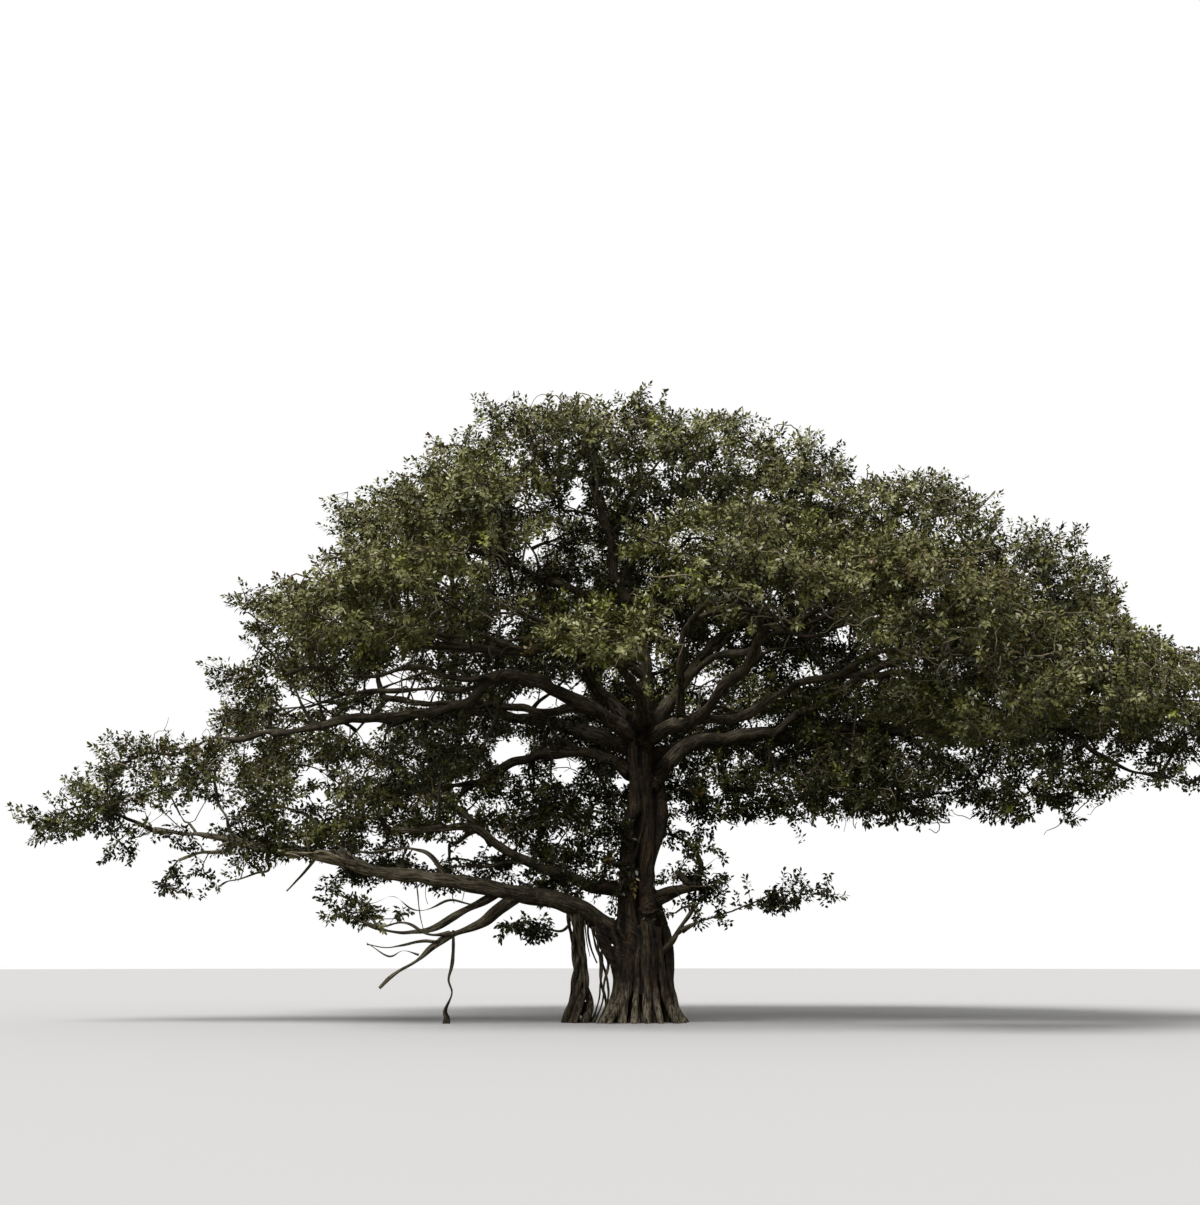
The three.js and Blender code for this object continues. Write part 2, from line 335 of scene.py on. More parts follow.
def softened(mesh, co, rounds):
    # each vertex moves half way to the middle of its neighbours
    edges = np.zeros(len(mesh.edges) * 2, np.int32)
    mesh.edges.foreach_get("vertices", edges)
    a, b = edges.reshape(-1, 2).T
    count = np.bincount(a, minlength=len(co)) + np.bincount(b, minlength=len(co))
    for turn in range(rounds):
        total = np.stack(
            [np.bincount(a, co[b, i], len(co)) + np.bincount(b, co[a, i], len(co)) for i in range(3)],
            axis=1,
        )
        co = 0.5 * co + 0.5 * total / np.maximum(count, 1)[:, None]
    return co


def grainOf(co, lines):
    # for each vertex its place across and along the nearest limb, so that bark runs with the wood
    middles = np.vstack([line for line, radius in lines])
    frames = np.vstack([
        np.column_stack([*frameAlong(line), runAlong(line), np.full(len(line), i * reliefLook["limbShift"])])
        for i, (line, radius) in enumerate(lines)
    ])
    tree = nearestOf(middles)
    near = np.array([tree.find(p)[1] for p in co])
    offset = co - middles[near]
    f = frames[near]
    u = np.sum(offset * f[:, 3:6], axis=1)
    w = np.sum(offset * f[:, 6:9], axis=1)
    s = f[:, 9] + np.sum(offset * f[:, 0:3], axis=1)
    return np.column_stack([u + f[:, 10], w, s])


def barkRelief(mesh, lines, relief, seed):
    # furrows along the grain, then the hollows marked: the bark's colour gets painted shade in them and wears
    # on the ridges between
    co = softened(mesh, vectorsOf(mesh.vertices, "co"), reliefLook["smoothed"])
    moveVertices(mesh, co)
    normal = vectorsOf(mesh.vertex_normals, "vector")
    grain = grainOf(co, lines)
    stretched = grain * np.array([1, 1, 1 / relief["stretch"]])
    lift = np.zeros(len(co))
    for size, depth in relief["waves"]:
        lift += depth * noise(stretched, size, seed + size)
    lift += relief["lumps"][1] * noise(grain, relief["lumps"][0], seed + 3)
    fixed = co[:, 2] < reliefLook["ground"]
    lift[fixed] = 0
    co = co + normal * lift[:, None]
    co[:, 2] = np.maximum(co[:, 2], 0)
    co[fixed, 2] = 0
    moveVertices(mesh, co)
    normal = vectorsOf(mesh.vertex_normals, "vector")
    rounds, depth = reliefLook["near"]
    near = softened(mesh, co, rounds)
    hollow = np.sum((near - co) * normal, axis=1) / depth
    if "wide" in relief:
        far = softened(mesh, near, reliefLook["far"])
        hollow = hollow + np.sum((far - co) * normal, axis=1) / relief["wide"]
    # painted light: the low boughs on the left paler outwards
    pale = fade(co[:, 0], *paleReach["outwards"]) * fade(co[:, 2], *paleReach["low"])
    setAttribute(mesh, "grain", grain)
    setAttribute(mesh, "hollow", np.clip(hollow, -1, 1))
    setAttribute(mesh, "pale", pale)
    mesh.polygons.foreach_set("use_smooth", np.ones(len(mesh.polygons), bool))
    return co


# bark

barkSockets = {  # and what they hold where a bark doesn't say
    "Deep": (0.012, 0.009, 0.006, 1),
    "Bark": (0.07, 0.055, 0.037, 1),
    "Worn": (0.2, 0.185, 0.15, 1),
    "Lichen": (0.32, 0.32, 0.27, 1),
    "Pale Bark": (0.43, 0.37, 0.265, 1),
    "Pale Worn": (0.68, 0.62, 0.50, 1),
    "Worn Share": 0.5,
    "Lichen Share": 0.3,
    "Grain Size": 1.0,
}
barkLook = dict(
    stretch=(1, 1, 0.09),  # the pattern is drawn out along the limb
    streakScale=22.0, streakNoise=dict(Detail=6.0, Roughness=0.66), streaks=(0.36, 0.68),
    crackScale=16.0, cracks=(0.0, 0.11), crackShade=(0.0, 1.0, 0.75, 1.0),
    patchNoise=dict(Scale=1.7, Detail=4.0, Roughness=0.6), patches=(0.36, 0.64),  # where the bark is worn
    raised=(0.1, -0.75), raisedShare=(0.0, 0.8, 0.25, 1.0),  # it wears most where it stands out
    spotNoise=dict(Scale=9.0, Detail=5.0, Roughness=0.7), spots=(0.52, 0.66),  # of lichen
    # painted shade: how dark the bark is painted in the hollows
    hollowPaintedShade=(0.0, 0.8, 1.0, 0.16),
    roughness=(0.3, 0.7, 0.95, 0.78),
    height=(0.3, 0.7, 0.4, 1.0),
)
barkPattern = bpy.data.node_groups.new("bark pattern", "ShaderNodeTree")
for name, value in barkSockets.items():
    kind = "NodeSocketFloat" if isinstance(value, float) else "NodeSocketColor"
    barkPattern.interface.new_socket(name, in_out="INPUT", socket_type=kind).default_value = value
for name in ("Color", "Roughness", "Height"):
    kind = "NodeSocketColor" if name == "Color" else "NodeSocketFloat"
    barkPattern.interface.new_socket(name, in_out="OUTPUT", socket_type=kind)


def barkNode(kind, **values):
    return addNode(barkPattern, kind, **values)


def mixColours(factor, first, second, blend="MIX"):
    node = barkNode("ShaderNodeMix", data_type="RGBA", blend_type=blend)
    for value, number in ((factor, 0), (first, 6), (second, 7)):
        feed(barkPattern, value, node.inputs[number])
    return node.outputs[2]


def remap(value, low, high, toLow=0.0, toHigh=1.0):
    node = barkNode("ShaderNodeMapRange", interpolation_type="SMOOTHSTEP")
    for socket, number in zip(node.inputs, (value, low, high, toLow, toHigh)):
        feed(barkPattern, number, socket)
    return node.outputs[0]


def combine(operation, first, second):
    node = barkNode("ShaderNodeMath", operation=operation)
    feed(barkPattern, first, node.inputs[0])
    feed(barkPattern, second, node.inputs[1])
    return node.outputs[0]


given = barkNode("NodeGroupInput").outputs
result = barkNode("NodeGroupOutput").inputs
grain = barkNode("ShaderNodeAttribute", attribute_name="grain").outputs["Vector"]
hollow = barkNode("ShaderNodeAttribute", attribute_name="hollow").outputs["Fac"]
pale = barkNode("ShaderNodeAttribute", attribute_name="pale").outputs["Fac"]
drawn = barkNode("ShaderNodeMapping", Vector=grain, Scale=barkLook["stretch"]).outputs[0]
streaks = barkNode(
    "ShaderNodeTexNoise", Vector=drawn, **barkLook["streakNoise"],
    Scale=combine("DIVIDE", barkLook["streakScale"], given["Grain Size"]),
).outputs["Fac"]
cracks = barkNode(
    "ShaderNodeTexVoronoi", feature="DISTANCE_TO_EDGE", Vector=drawn,
    Scale=combine("DIVIDE", barkLook["crackScale"], given["Grain Size"]),
).outputs["Distance"]
patches = barkNode("ShaderNodeTexNoise", Vector=grain, **barkLook["patchNoise"]).outputs["Fac"]
spots = barkNode("ShaderNodeTexNoise", Vector=grain, **barkLook["spotNoise"]).outputs["Fac"]
streak = remap(streaks, *barkLook["streaks"])
crack = remap(cracks, *barkLook["cracks"])
barkColour = mixColours(pale, given["Bark"], given["Pale Bark"])
wornColour = mixColours(pale, given["Worn"], given["Pale Worn"])
body = mixColours(streak, given["Deep"], barkColour)
raised = remap(hollow, *barkLook["raised"])
wornPlace = combine("MULTIPLY", remap(patches, *barkLook["patches"]), streak)
wornPlace = combine("MULTIPLY", wornPlace, remap(raised, *barkLook["raisedShare"]))
wornPlace = combine("MULTIPLY", wornPlace, given["Worn Share"])
body = mixColours(wornPlace, body, wornColour)
lichenPlace = combine("MULTIPLY", remap(spots, *barkLook["spots"]), given["Lichen Share"])
body = mixColours(lichenPlace, body, given["Lichen"])
# painted shade: the bark's colour is darkened in the hollows and along the cracks
shade = remap(hollow, *barkLook["hollowPaintedShade"])
shade = combine("MULTIPLY", shade, remap(crack, *barkLook["crackShade"]))
paintedShade = barkNode("ShaderNodeCombineColor", Red=shade, Green=shade, Blue=shade).outputs[0]
feed(barkPattern, mixColours(1.0, body, paintedShade, "MULTIPLY"), result["Color"])
feed(barkPattern, remap(streaks, *barkLook["roughness"]), result["Roughness"])
feed(barkPattern, combine("MULTIPLY", crack, remap(streaks, *barkLook["height"])), result["Height"])

barks = {
    "trunk bark": dict(
        deep=(0.004, 0.003, 0.002), bark=(0.027, 0.0148, 0.0075), worn=(0.096, 0.064, 0.035),
        lichen=(0.19, 0.18, 0.13), wornShare=0.75, lichenShare=0.12, grainSize=1.0, bump=0.02,
    ),
    "bough bark": dict(
        deep=(0.012, 0.009, 0.005), bark=(0.056, 0.043, 0.028), worn=(0.175, 0.148, 0.108),
        lichen=(0.24, 0.23, 0.17), wornShare=0.8, lichenShare=0.3, grainSize=0.8, bump=0.012,
    ),
    "twig bark": dict(
        deep=(0.034, 0.026, 0.017), bark=(0.135, 0.112, 0.078), worn=(0.28, 0.25, 0.19),
        lichen=(0.28, 0.28, 0.21), wornShare=0.6, lichenShare=0.25, grainSize=0.5, bump=0.004,
    ),
    "pale twig bark": dict(
        deep=(0.085, 0.068, 0.045), bark=(0.27, 0.23, 0.16), worn=(0.46, 0.41, 0.31),
        lichen=(0.40, 0.40, 0.30), wornShare=0.7, lichenShare=0.25, grainSize=0.5, bump=0.004,
    ),
}

barkShine = dict(roughness=0.9, specular=0.3, relief=0.8)


def barkMaterial(name):
    look = barks[name]
    material = newMaterial(name, look["bark"], barkShine["roughness"], barkShine["specular"])
    tree = material.node_tree
    shader = tree.nodes["Principled BSDF"]
    pattern = addNode(tree, "ShaderNodeGroup", node_tree=barkPattern)
    for socket in ("Deep", "Bark", "Worn", "Lichen"):
        pattern.inputs[socket].default_value = (*look[socket.lower()], 1)
    pattern.inputs["Worn Share"].default_value = look["wornShare"]
    pattern.inputs["Lichen Share"].default_value = look["lichenShare"]
    pattern.inputs["Grain Size"].default_value = look["grainSize"]
    bump = addNode(
        tree, "ShaderNodeBump", Strength=barkShine["relief"], Distance=look["bump"],
        Height=pattern.outputs["Height"],
    )
    tree.links.new(pattern.outputs["Color"], shader.inputs["Base Color"])
    tree.links.new(pattern.outputs["Roughness"], shader.inputs["Roughness"])
    tree.links.new(bump.outputs["Normal"], shader.inputs["Normal"])
    return material


barkOf = {name: barkMaterial(name) for name in barks}
print("bark materials")

# limbs: the points their middle passes through, and the radius at the foot and at the tip

limbs = {
    "low_left_bough": dict(radii=(0.29, 0.165), path=[
        (-0.38, -0.05, 1.95), (-1.18, -0.33, 2.48), (-1.74, -0.5, 2.76), (-3.18, -0.7, 3.06),
        (-4.8, -0.7, 3.33),
    ]),
    "low_left_bough_outer": dict(radii=(0.165, 0.055), pale=True, follows="low_left_bough", path=[
        (-4.8, -0.7, 3.33), (-6.36, -0.8, 3.5), (-8.01, -0.8, 3.9), (-9.98, -0.6, 4.3), (-11.5, -0.5, 4.45),
    ]),
    "drooping_bough": dict(radii=(0.15, 0.018), pale=True, path=[
        (-2.9, -0.72, 2.9), (-3.65, -1.0, 2.37), (-4.49, -1.05, 2.0), (-5.63, -1.3, 1.13),
        (-5.99, -1.4, 0.8),
    ]),
    "arching_bough": dict(radii=(0.155, 0.085), path=[
        (-0.35, 0, 3.05), (-1.53, -0.1, 3.33), (-3.03, -0.25, 3.8), (-3.86, -0.35, 4.52),
        (-4.73, -0.4, 4.48), (-5.9, -0.5, 4.45),
    ]),
    "left_mid_bough": dict(radii=(0.16, 0.085), path=[
        (-0.25, 0.18, 5.9), (-0.67, 0.7, 6.23), (-1.63, 1.2, 6.47), (-2.91, 1.7, 6.26), (-4.15, 1.9, 5.7),
    ]),
    "long_left_bough": dict(radii=(0.195, 0.08), path=[
        (-0.26, -0.13, 6.82), (-1.6, -1.0, 7.5), (-2.79, -2.1, 7.98), (-3.45, -2.55, 7.78),
        (-4.0, -2.75, 7.18), (-5.83, -2.85, 6.95), (-8.5, -2.0, 6.55),
    ]),
    "upper_left_bough": dict(radii=(0.165, 0.09), path=[
        (-0.2, 0.16, 7.08), (-0.99, 0.25, 7.92), (-1.56, -1.0, 8.88), (-2.77, -2.1, 8.5),
        (-4.38, -3.0, 8.52), (-5.8, -3.6, 8.6),
    ]),
    "leader": dict(radii=(0.205, 0.085), path=[
        (0.07, 0, 7.02), (0.11, 0.18, 8.52), (-0.06, 0.25, 9.5), (-0.66, 0, 10.74), (-0.7, -0.15, 11.58),
        (-1.15, -0.3, 12.9),
    ]),
    "right_leader": dict(radii=(0.18, 0.085), path=[
        (0.3, 0.2, 6.8), (0.78, 0.6, 7.85), (1.5, 1.15, 8.8), (2.12, 1.5, 9.42), (2.74, 1.7, 10.5),
        (3.4, 1.5, 12.0),
    ]),
    "front_right_bough": dict(radii=(0.19, 0.095), path=[
        (0.23, -0.25, 6.65), (0.6, -0.9, 6.79), (1.2, -1.75, 6.9), (1.76, -2.8, 7.33), (2.28, -3.9, 7.95),
        (2.7, -5.0, 8.7),
    ]),
    "low_right_bough": dict(radii=(0.23, 0.175), path=[
        (0.3, 0.1, 5.6), (0.7, 0.3, 6.12), (1.41, 0.7, 6.7), (2.7, 1.2, 6.88), (4.04, 1.6, 6.95),
    ]),
    "low_right_bough_outer": dict(radii=(0.175, 0.075), follows="low_right_bough", path=[
        (4.04, 1.6, 6.95), (5.52, 1.8, 7.1), (8.02, 1.0, 6.95), (9.7, 0, 6.85), (11.7, -1.0, 6.9),
    ]),
    "right_stub_bough": dict(radii=(0.19, 0.12), path=[
        (0.25, -0.12, 2.78), (0.59, -0.28, 2.96), (0.9, -0.38, 3.05), (1.2, -0.45, 3.12),
    ]),
    "front_bough": dict(radii=(0.17, 0.075), path=[
        (0.04, -0.3, 7.0), (-0.12, -2.3, 7.45), (-0.6, -4.6, 7.95), (-0.85, -6.8, 8.0),
    ]),
    "back_left_bough": dict(radii=(0.20, 0.09), path=[
        (-0.18, 0.26, 6.48), (-1.7, 2.3, 7.25), (-3.9, 4.7, 7.9), (-6.9, 6.3, 8.5),
    ]),
    "back_bough": dict(radii=(0.20, 0.09), path=[
        (0.09, 0.32, 6.85), (0.25, 2.2, 7.7), (0.35, 4.6, 8.9), (0.2, 7.4, 9.9),
    ]),
    "back_right_bough": dict(radii=(0.20, 0.09), path=[
        (0.28, 0.3, 6.25), (2.0, 2.7, 7.05), (4.2, 5.2, 7.35), (6.0, 8.4, 7.5),
    ]),
}
sideBoughs = {
    "leader_twin": dict(radii=(0.10, 0.05), path=[
        (-0.5, 0.1, 10.46), (0.15, 0.6, 11.65), (0.76, 0.9, 11.87), (1.32, 1.1, 12.17), (1.97, 1.3, 12.42),
    ]),
    "leader_left": dict(radii=(0.115, 0.05), path=[
        (-0.25, 0.2, 9.98), (-1.19, 0.4, 10.27), (-1.93, 0.5, 10.59), (-2.94, 0.5, 10.94),
        (-3.91, 0.4, 11.3), (-4.64, 0.3, 11.63),
    ]),
    "leader_low_left": dict(radii=(0.11, 0.05), path=[
        (0.08, 0.1, 8.2), (-0.7, -0.5, 8.75), (-1.9, -1.2, 9.2), (-3.1, -2.2, 9.5), (-4.3, -2.9, 9.9),
    ]),
    "fork_left": dict(radii=(0.12, 0.05), path=[
        (-1.3, -0.75, 7.35), (-2.2, -0.4, 7.3), (-3.3, 0.3, 7.55), (-4.6, 0.8, 7.5), (-6.1, 0.7, 7.2),
        (-7.6, 0.4, 7.1),
    ]),
    "front_fork": dict(radii=(0.12, 0.06), path=[
        (1.3, -1.9, 6.95), (2.2, -2.4, 6.9), (3.1, -3.0, 7.4), (4.4, -3.9, 7.65), (5.8, -4.8, 7.6),
    ]),
    "front_elbow_low": dict(radii=(0.10, 0.045), path=[
        (0.9, -2.2, 7.6), (1.5, -3.0, 8.15), (2.3, -3.6, 8.2), (2.9, -4.0, 8.55), (3.8, -4.3, 8.5),
        (4.6, -4.6, 8.75), (5.4, -4.9, 8.7),
    ]),
    "front_elbow_high": dict(radii=(0.075, 0.035), path=[
        (1.0, -3.1, 8.7), (1.3, -3.9, 9.25), (2.1, -4.3, 9.3), (2.6, -4.6, 9.75), (3.5, -4.8, 9.7),
    ]),
    "front_right_wave": dict(radii=(0.075, 0.035), path=[
        (4.4, -3.9, 7.7), (5.3, -4.8, 8.05), (6.1, -5.2, 7.9), (7.0, -5.4, 8.15), (8.0, -5.4, 7.9),
        (9.0, -5.2, 7.85),
    ]),
    "long_left_tip": dict(radii=(0.07, 0.03), path=[
        (-8.2, -2.07, 6.6), (-8.7, -1.9, 6.62), (-9.3, -1.6, 6.45), (-9.9, -1.4, 6.5), (-10.6, -1.2, 6.3),
    ]),
    "left_high_wave": dict(radii=(0.085, 0.03), path=[
        (-2.2, -1.6, 7.75), (-3.12, -2.5, 7.85), (-3.84, -2.75, 7.72), (-4.64, -2.8, 7.84),
        (-5.44, -2.9, 7.98), (-6.21, -3.0, 7.86), (-7.22, -3.0, 8.05), (-8.1, -2.9, 7.8),
    ]),
    "left_low_wave": dict(radii=(0.06, 0.025), path=[
        (-3.6, -2.6, 7.62), (-4.3, -2.5, 7.5), (-4.9, -2.3, 7.6), (-5.7, -2.3, 7.52), (-6.6, -2.2, 7.5),
        (-7.5, -2.1, 7.25), (-8.3, -2.0, 7.0),
    ]),
    "left_cross": dict(radii=(0.05, 0.02), path=[
        (-4.5, -2.8, 7.85), (-5.1, -2.1, 8.0), (-5.6, -1.8, 7.8), (-6.13, -1.8, 7.6), (-6.71, -1.8, 7.36),
        (-7.28, -1.8, 7.4), (-8.0, -1.7, 7.15),
    ]),
    "left_mid_outer": dict(radii=(0.07, 0.03), path=[
        (-3.8, 1.85, 5.82), (-4.6, 1.75, 5.72), (-5.3, 1.5, 5.5), (-6.0, 1.2, 5.6), (-6.8, 0.9, 5.5),
    ]),
    "left_wave": dict(radii=(0.085, 0.035), path=[
        (-2.8, -2.1, 8.45), (-3.6, -2.8, 8.75), (-4.5, -3.2, 8.65), (-5.3, -3.4, 8.9), (-6.3, -3.4, 8.7),
    ]),
    "front_elbows": dict(radii=(0.11, 0.055), path=[
        (0.95, -1.3, 6.85), (0.85, -2.6, 8.0), (1.1, -3.3, 8.9), (1.9, -3.8, 9.1), (2.7, -4.1, 9.0),
        (3.3, -4.3, 8.8), (4.2, -4.8, 9.2),
    ]),
    "dome_elbows": dict(radii=(0.11, 0.05), path=[
        (2.3, 1.55, 9.7), (3.1, 0.9, 9.6), (3.8, 0.2, 9.3), (4.5, -0.4, 9.6), (5.3, -0.9, 10.1),
        (6.3, -1.2, 10.3),
    ]),
    "right_rise": dict(radii=(0.13, 0.05), path=[
        (3.3, 1.4, 6.9), (4.3, 0.9, 7.5), (5.6, 0.2, 8.3), (6.9, -0.3, 8.7), (8.3, -0.5, 8.6),
        (9.6, -0.8, 8.3), (11.0, -1.0, 7.8),
    ]),
    "right_droop": dict(radii=(0.06, 0.025), path=[
        (10.2, -0.3, 6.86), (10.6, -0.5, 6.55), (11.0, -0.6, 6.22), (11.45, -0.7, 5.93), (12.01, -0.8, 5.8),
        (12.83, -1.0, 5.5),
    ]),
    "foot_right": dict(radii=(0.085, 0.04), path=[
        (0.5, -0.3, 1.6), (0.78, -0.5, 1.87), (0.98, -0.58, 2.2), (1.25, -0.66, 2.66),
    ]),
    "foot_right_fork": dict(radii=(0.045, 0.022), path=[
        (0.95, -0.56, 2.1), (1.15, -0.62, 2.22), (1.42, -0.66, 2.34),
    ]),
    "arch_up": dict(radii=(0.08, 0.04), path=[
        (-3.5, -0.3, 4.1), (-4.2, 0.1, 4.9), (-5.1, 0.4, 5.3), (-6.3, 0.3, 5.35),
    ]),
    "droop_upper": dict(radii=(0.10, 0.022), pale=True, path=[
        (-3.3, -0.66, 2.98), (-4.32, -0.6, 2.43), (-4.91, -0.56, 2.08), (-5.56, -0.56, 2.06),
        (-6.2, -0.6, 2.2), (-6.9, -0.7, 2.5),
    ]),
    "droop_fork": dict(radii=(0.06, 0.012), pale=True, path=[
        (-4.7, -1.08, 1.85), (-5.2, -0.8, 1.9), (-5.9, -0.6, 1.75), (-6.4, -0.6, 1.8),
    ]),
    "droop_twig_near": dict(radii=(0.036, 0.010), pale=True, path=[
        (-4.4, -1.05, 2.05), (-4.9, -1.3, 2.0), (-5.4, -1.4, 2.25), (-6.0, -1.3, 2.2), (-6.4, -1.2, 2.55),
        (-6.9, -1.15, 2.6),
    ]),
    "droop_twig_low": dict(radii=(0.028, 0.008), pale=True, path=[
        (-5.1, -1.2, 1.55), (-5.45, -1.4, 1.66), (-5.8, -1.5, 1.55), (-6.3, -1.55, 1.85),
    ]),
    "droop_twig_high": dict(radii=(0.034, 0.010), pale=True, path=[
        (-3.9, -0.65, 2.7), (-4.5, -0.8, 2.78), (-5.1, -0.85, 2.6), (-5.7, -0.8, 2.85), (-6.3, -0.8, 2.7),
        (-7.1, -0.8, 2.95),
    ]),
    "outer_rise": dict(radii=(0.07, 0.03), pale=True, path=[
        (-6.2, -0.8, 3.47), (-6.9, -0.5, 3.95), (-7.6, -0.2, 4.6), (-8.7, 0, 5.1),
    ]),
    "outer_drop": dict(radii=(0.04, 0.018), pale=True, path=[
        (-9.3, -0.68, 4.17), (-9.9, -0.6, 3.95), (-10.4, -0.5, 3.9), (-10.9, -0.4, 3.75),
    ]),
}
limbLook = dict(
    ring=0.07,  # metres between two places along a limb
    sides=14,
    taper=0.85,
    collar=(0.22, 0.35),  # how much wider the foot is, and over which length
    knots=(0.18, 0.5),  # unevenness of the radius, and its length
    sway=((0.11, 1.0), (0.04, 0.4)),  # how far the middle strays, and over which length
    held=0.9,  # it doesn't stray this close to the ends
    overlap=6,  # places that an outer limb shares with the limb it goes on from
    tucked=((0, 5, 8), (0.9, 0.97, 1.0)),  # where it starts a little thinner inside that limb
)


def limbLine(spec, seed):
    path = spec["path"]
    foot, tip = spec["radii"]
    ring = limbLook["ring"]
    before = limbs.get(spec.get("follows"))
    if before:
        path = before["path"] + path[1:]
    line = lineThrough(path, ring)
    run = np.arange(len(line)) * ring
    if before:
        own = len(lineThrough(before["path"], ring)) - 1
        t = np.clip(run / run[own], 0, 1)
        radius = before["radii"][0] + (before["radii"][1] - before["radii"][0]) * t ** limbLook["taper"]
        later = np.clip((run - run[own]) / (run[-1] - run[own]), 0, 1)
        radius[own:] = foot + (tip - foot) * later[own:]
    else:
        t = run / run[-1]
        radius = foot + (tip - foot) * t ** limbLook["taper"]
    wider, collarLength = limbLook["collar"]
    radius = radius * (1 + wider * np.exp(-run / collarLength))
    radius = radius * (1 + uneven(line, limbLook["knots"], seed))
    free = ease(run / limbLook["held"]) * ease((run[-1] - run) / limbLook["held"])
    wide, fine = limbLook["sway"]
    sway = wander(line, wide, seed + 9) + wander(line, fine, seed + 5)
    return line + sway * free[:, None], radius


followed = [spec.get("follows") for spec in limbs.values()]
limbLines = {}
wholeLines = {}
for number, (name, spec) in enumerate([*limbs.items(), *sideBoughs.items()]):
    if name in followed:
        continue
    line, radius = limbLine(spec, 100 + number * 11)
    wholeLines[name] = (line, radius)
    if spec.get("follows"):
        split = len(lineThrough(limbs[spec["follows"]]["path"], limbLook["ring"]))
        limbLines[spec["follows"]] = (line[:split], radius[:split])
        start = split - limbLook["overlap"]
        shrink = np.interp(np.arange(len(line) - start), *limbLook["tucked"])
        limbLines[name] = (line[start:], radius[start:] * shrink)
    else:
        limbLines[name] = (line, radius)

# trunk: fused columns over a core, root strands beside them and ridges that fan out at the foot

trunkLook = dict(
    rings=[(0, 0.06, 0.96), (0.22, 0.05, 0.85), (0.58, 0.05, 0.72), (1.11, 0.05, 0.66), (1.83, 0.02, 0.62),
           (2.35, -0.04, 0.50), (2.9, -0.09, 0.41), (3.4, -0.08, 0.385), (4.0, 0.02, 0.40),
           (4.56, 0.04, 0.43), (5.4, 0.08, 0.335), (6.3, 0.09, 0.325), (7.0, 0.06, 0.34)],
    depthShare=0.94,
    heights=(-0.3, 7.35, 0.12),
    voxel=0.027,
    sides=12,
    core=dict(share=0.52, back=0.07),  # share of the width
    stray=(0.03, 0.45),  # how far the stems stray, and over which length
    lumps=(0.14, 0.3),
)
columnLook = dict(
    places=[(30, 0.50, 10), (76, 0.50, -8), (122, 0.48, 12), (166, 0.46, -10)],  # bearing, width, turn
    narrow=((0, 0.6, 1.4, 2.6), (0.6, 0.68, 0.8, 1.0)),  # thinner at the foot
    turnHeight=3.4,
    swing=(0.10, 1.9, 1.7),
    lumps=(0.09, 0.7),
    inset=0.96,
)
ridgeLook = dict(
    count=14, bearings=(-0.3, 3.45), place=(0.1, 0.9), tops=(1.6, 5.2), step=0.1,
    swing=0.16, rate=(0.8, 1.6), size=(0.035, 0.065), taper=(0.9, 0.05, 0.6),
    out=((0, 0.8, 2.0), (0.96, 0.94, 0.93)), tuck=0.10,
)
footLook = dict(  # buttresses that run out into the flare, on the far side
    count=11, bearings=(-0.15, 3.3), place=(0.2, 0.8), tops=(0.9, 2.3), step=0.05,
    swing=0.10, rate=(1.2, 2.5), size=(0.08, 0.13), taper=(0.8, 0.03, 0.7),
    flare=(0.02, 0.14), flareHeight=0.6, thick=((0, 0.5, 1.2), (0.8, 1.0, 0.9)), out=0.94, tuck=0.16,
    toeTops=(0.3, 0.55), toeTurn=0.22, toeOut=0.97, toeSize=0.6,
)
clingingLook = dict(  # thin roots that wind down the trunk
    count=12, tops=(2.6, 6.4), low=-0.2, step=0.07, swing=0.5, rate=(0.5, 1.1), size=(0.024, 0.036),
    fade=((0, 0.4), (0.4, 1.0)), out=0.985, ripple=(0.02, 5, 1),
    front=((0.6, 1.9, 2.6, 3.4, 5), (1, 0.8, 0.84, 0.9, 0.85)),  # closer to the stems on the near side
)
boughFootLook = dict(
    reach=0.85,  # metres of each bough's foot that are part of the trunk's skin
    inward=(2.0, 1.0),
    thinned=0.9,
    roots=3, apart=2.1, sweep=(-1.5, 1.5), out=0.9, size=(0.04, 0.015),  # thin roots that hug it
    grainReach=1.4,
)
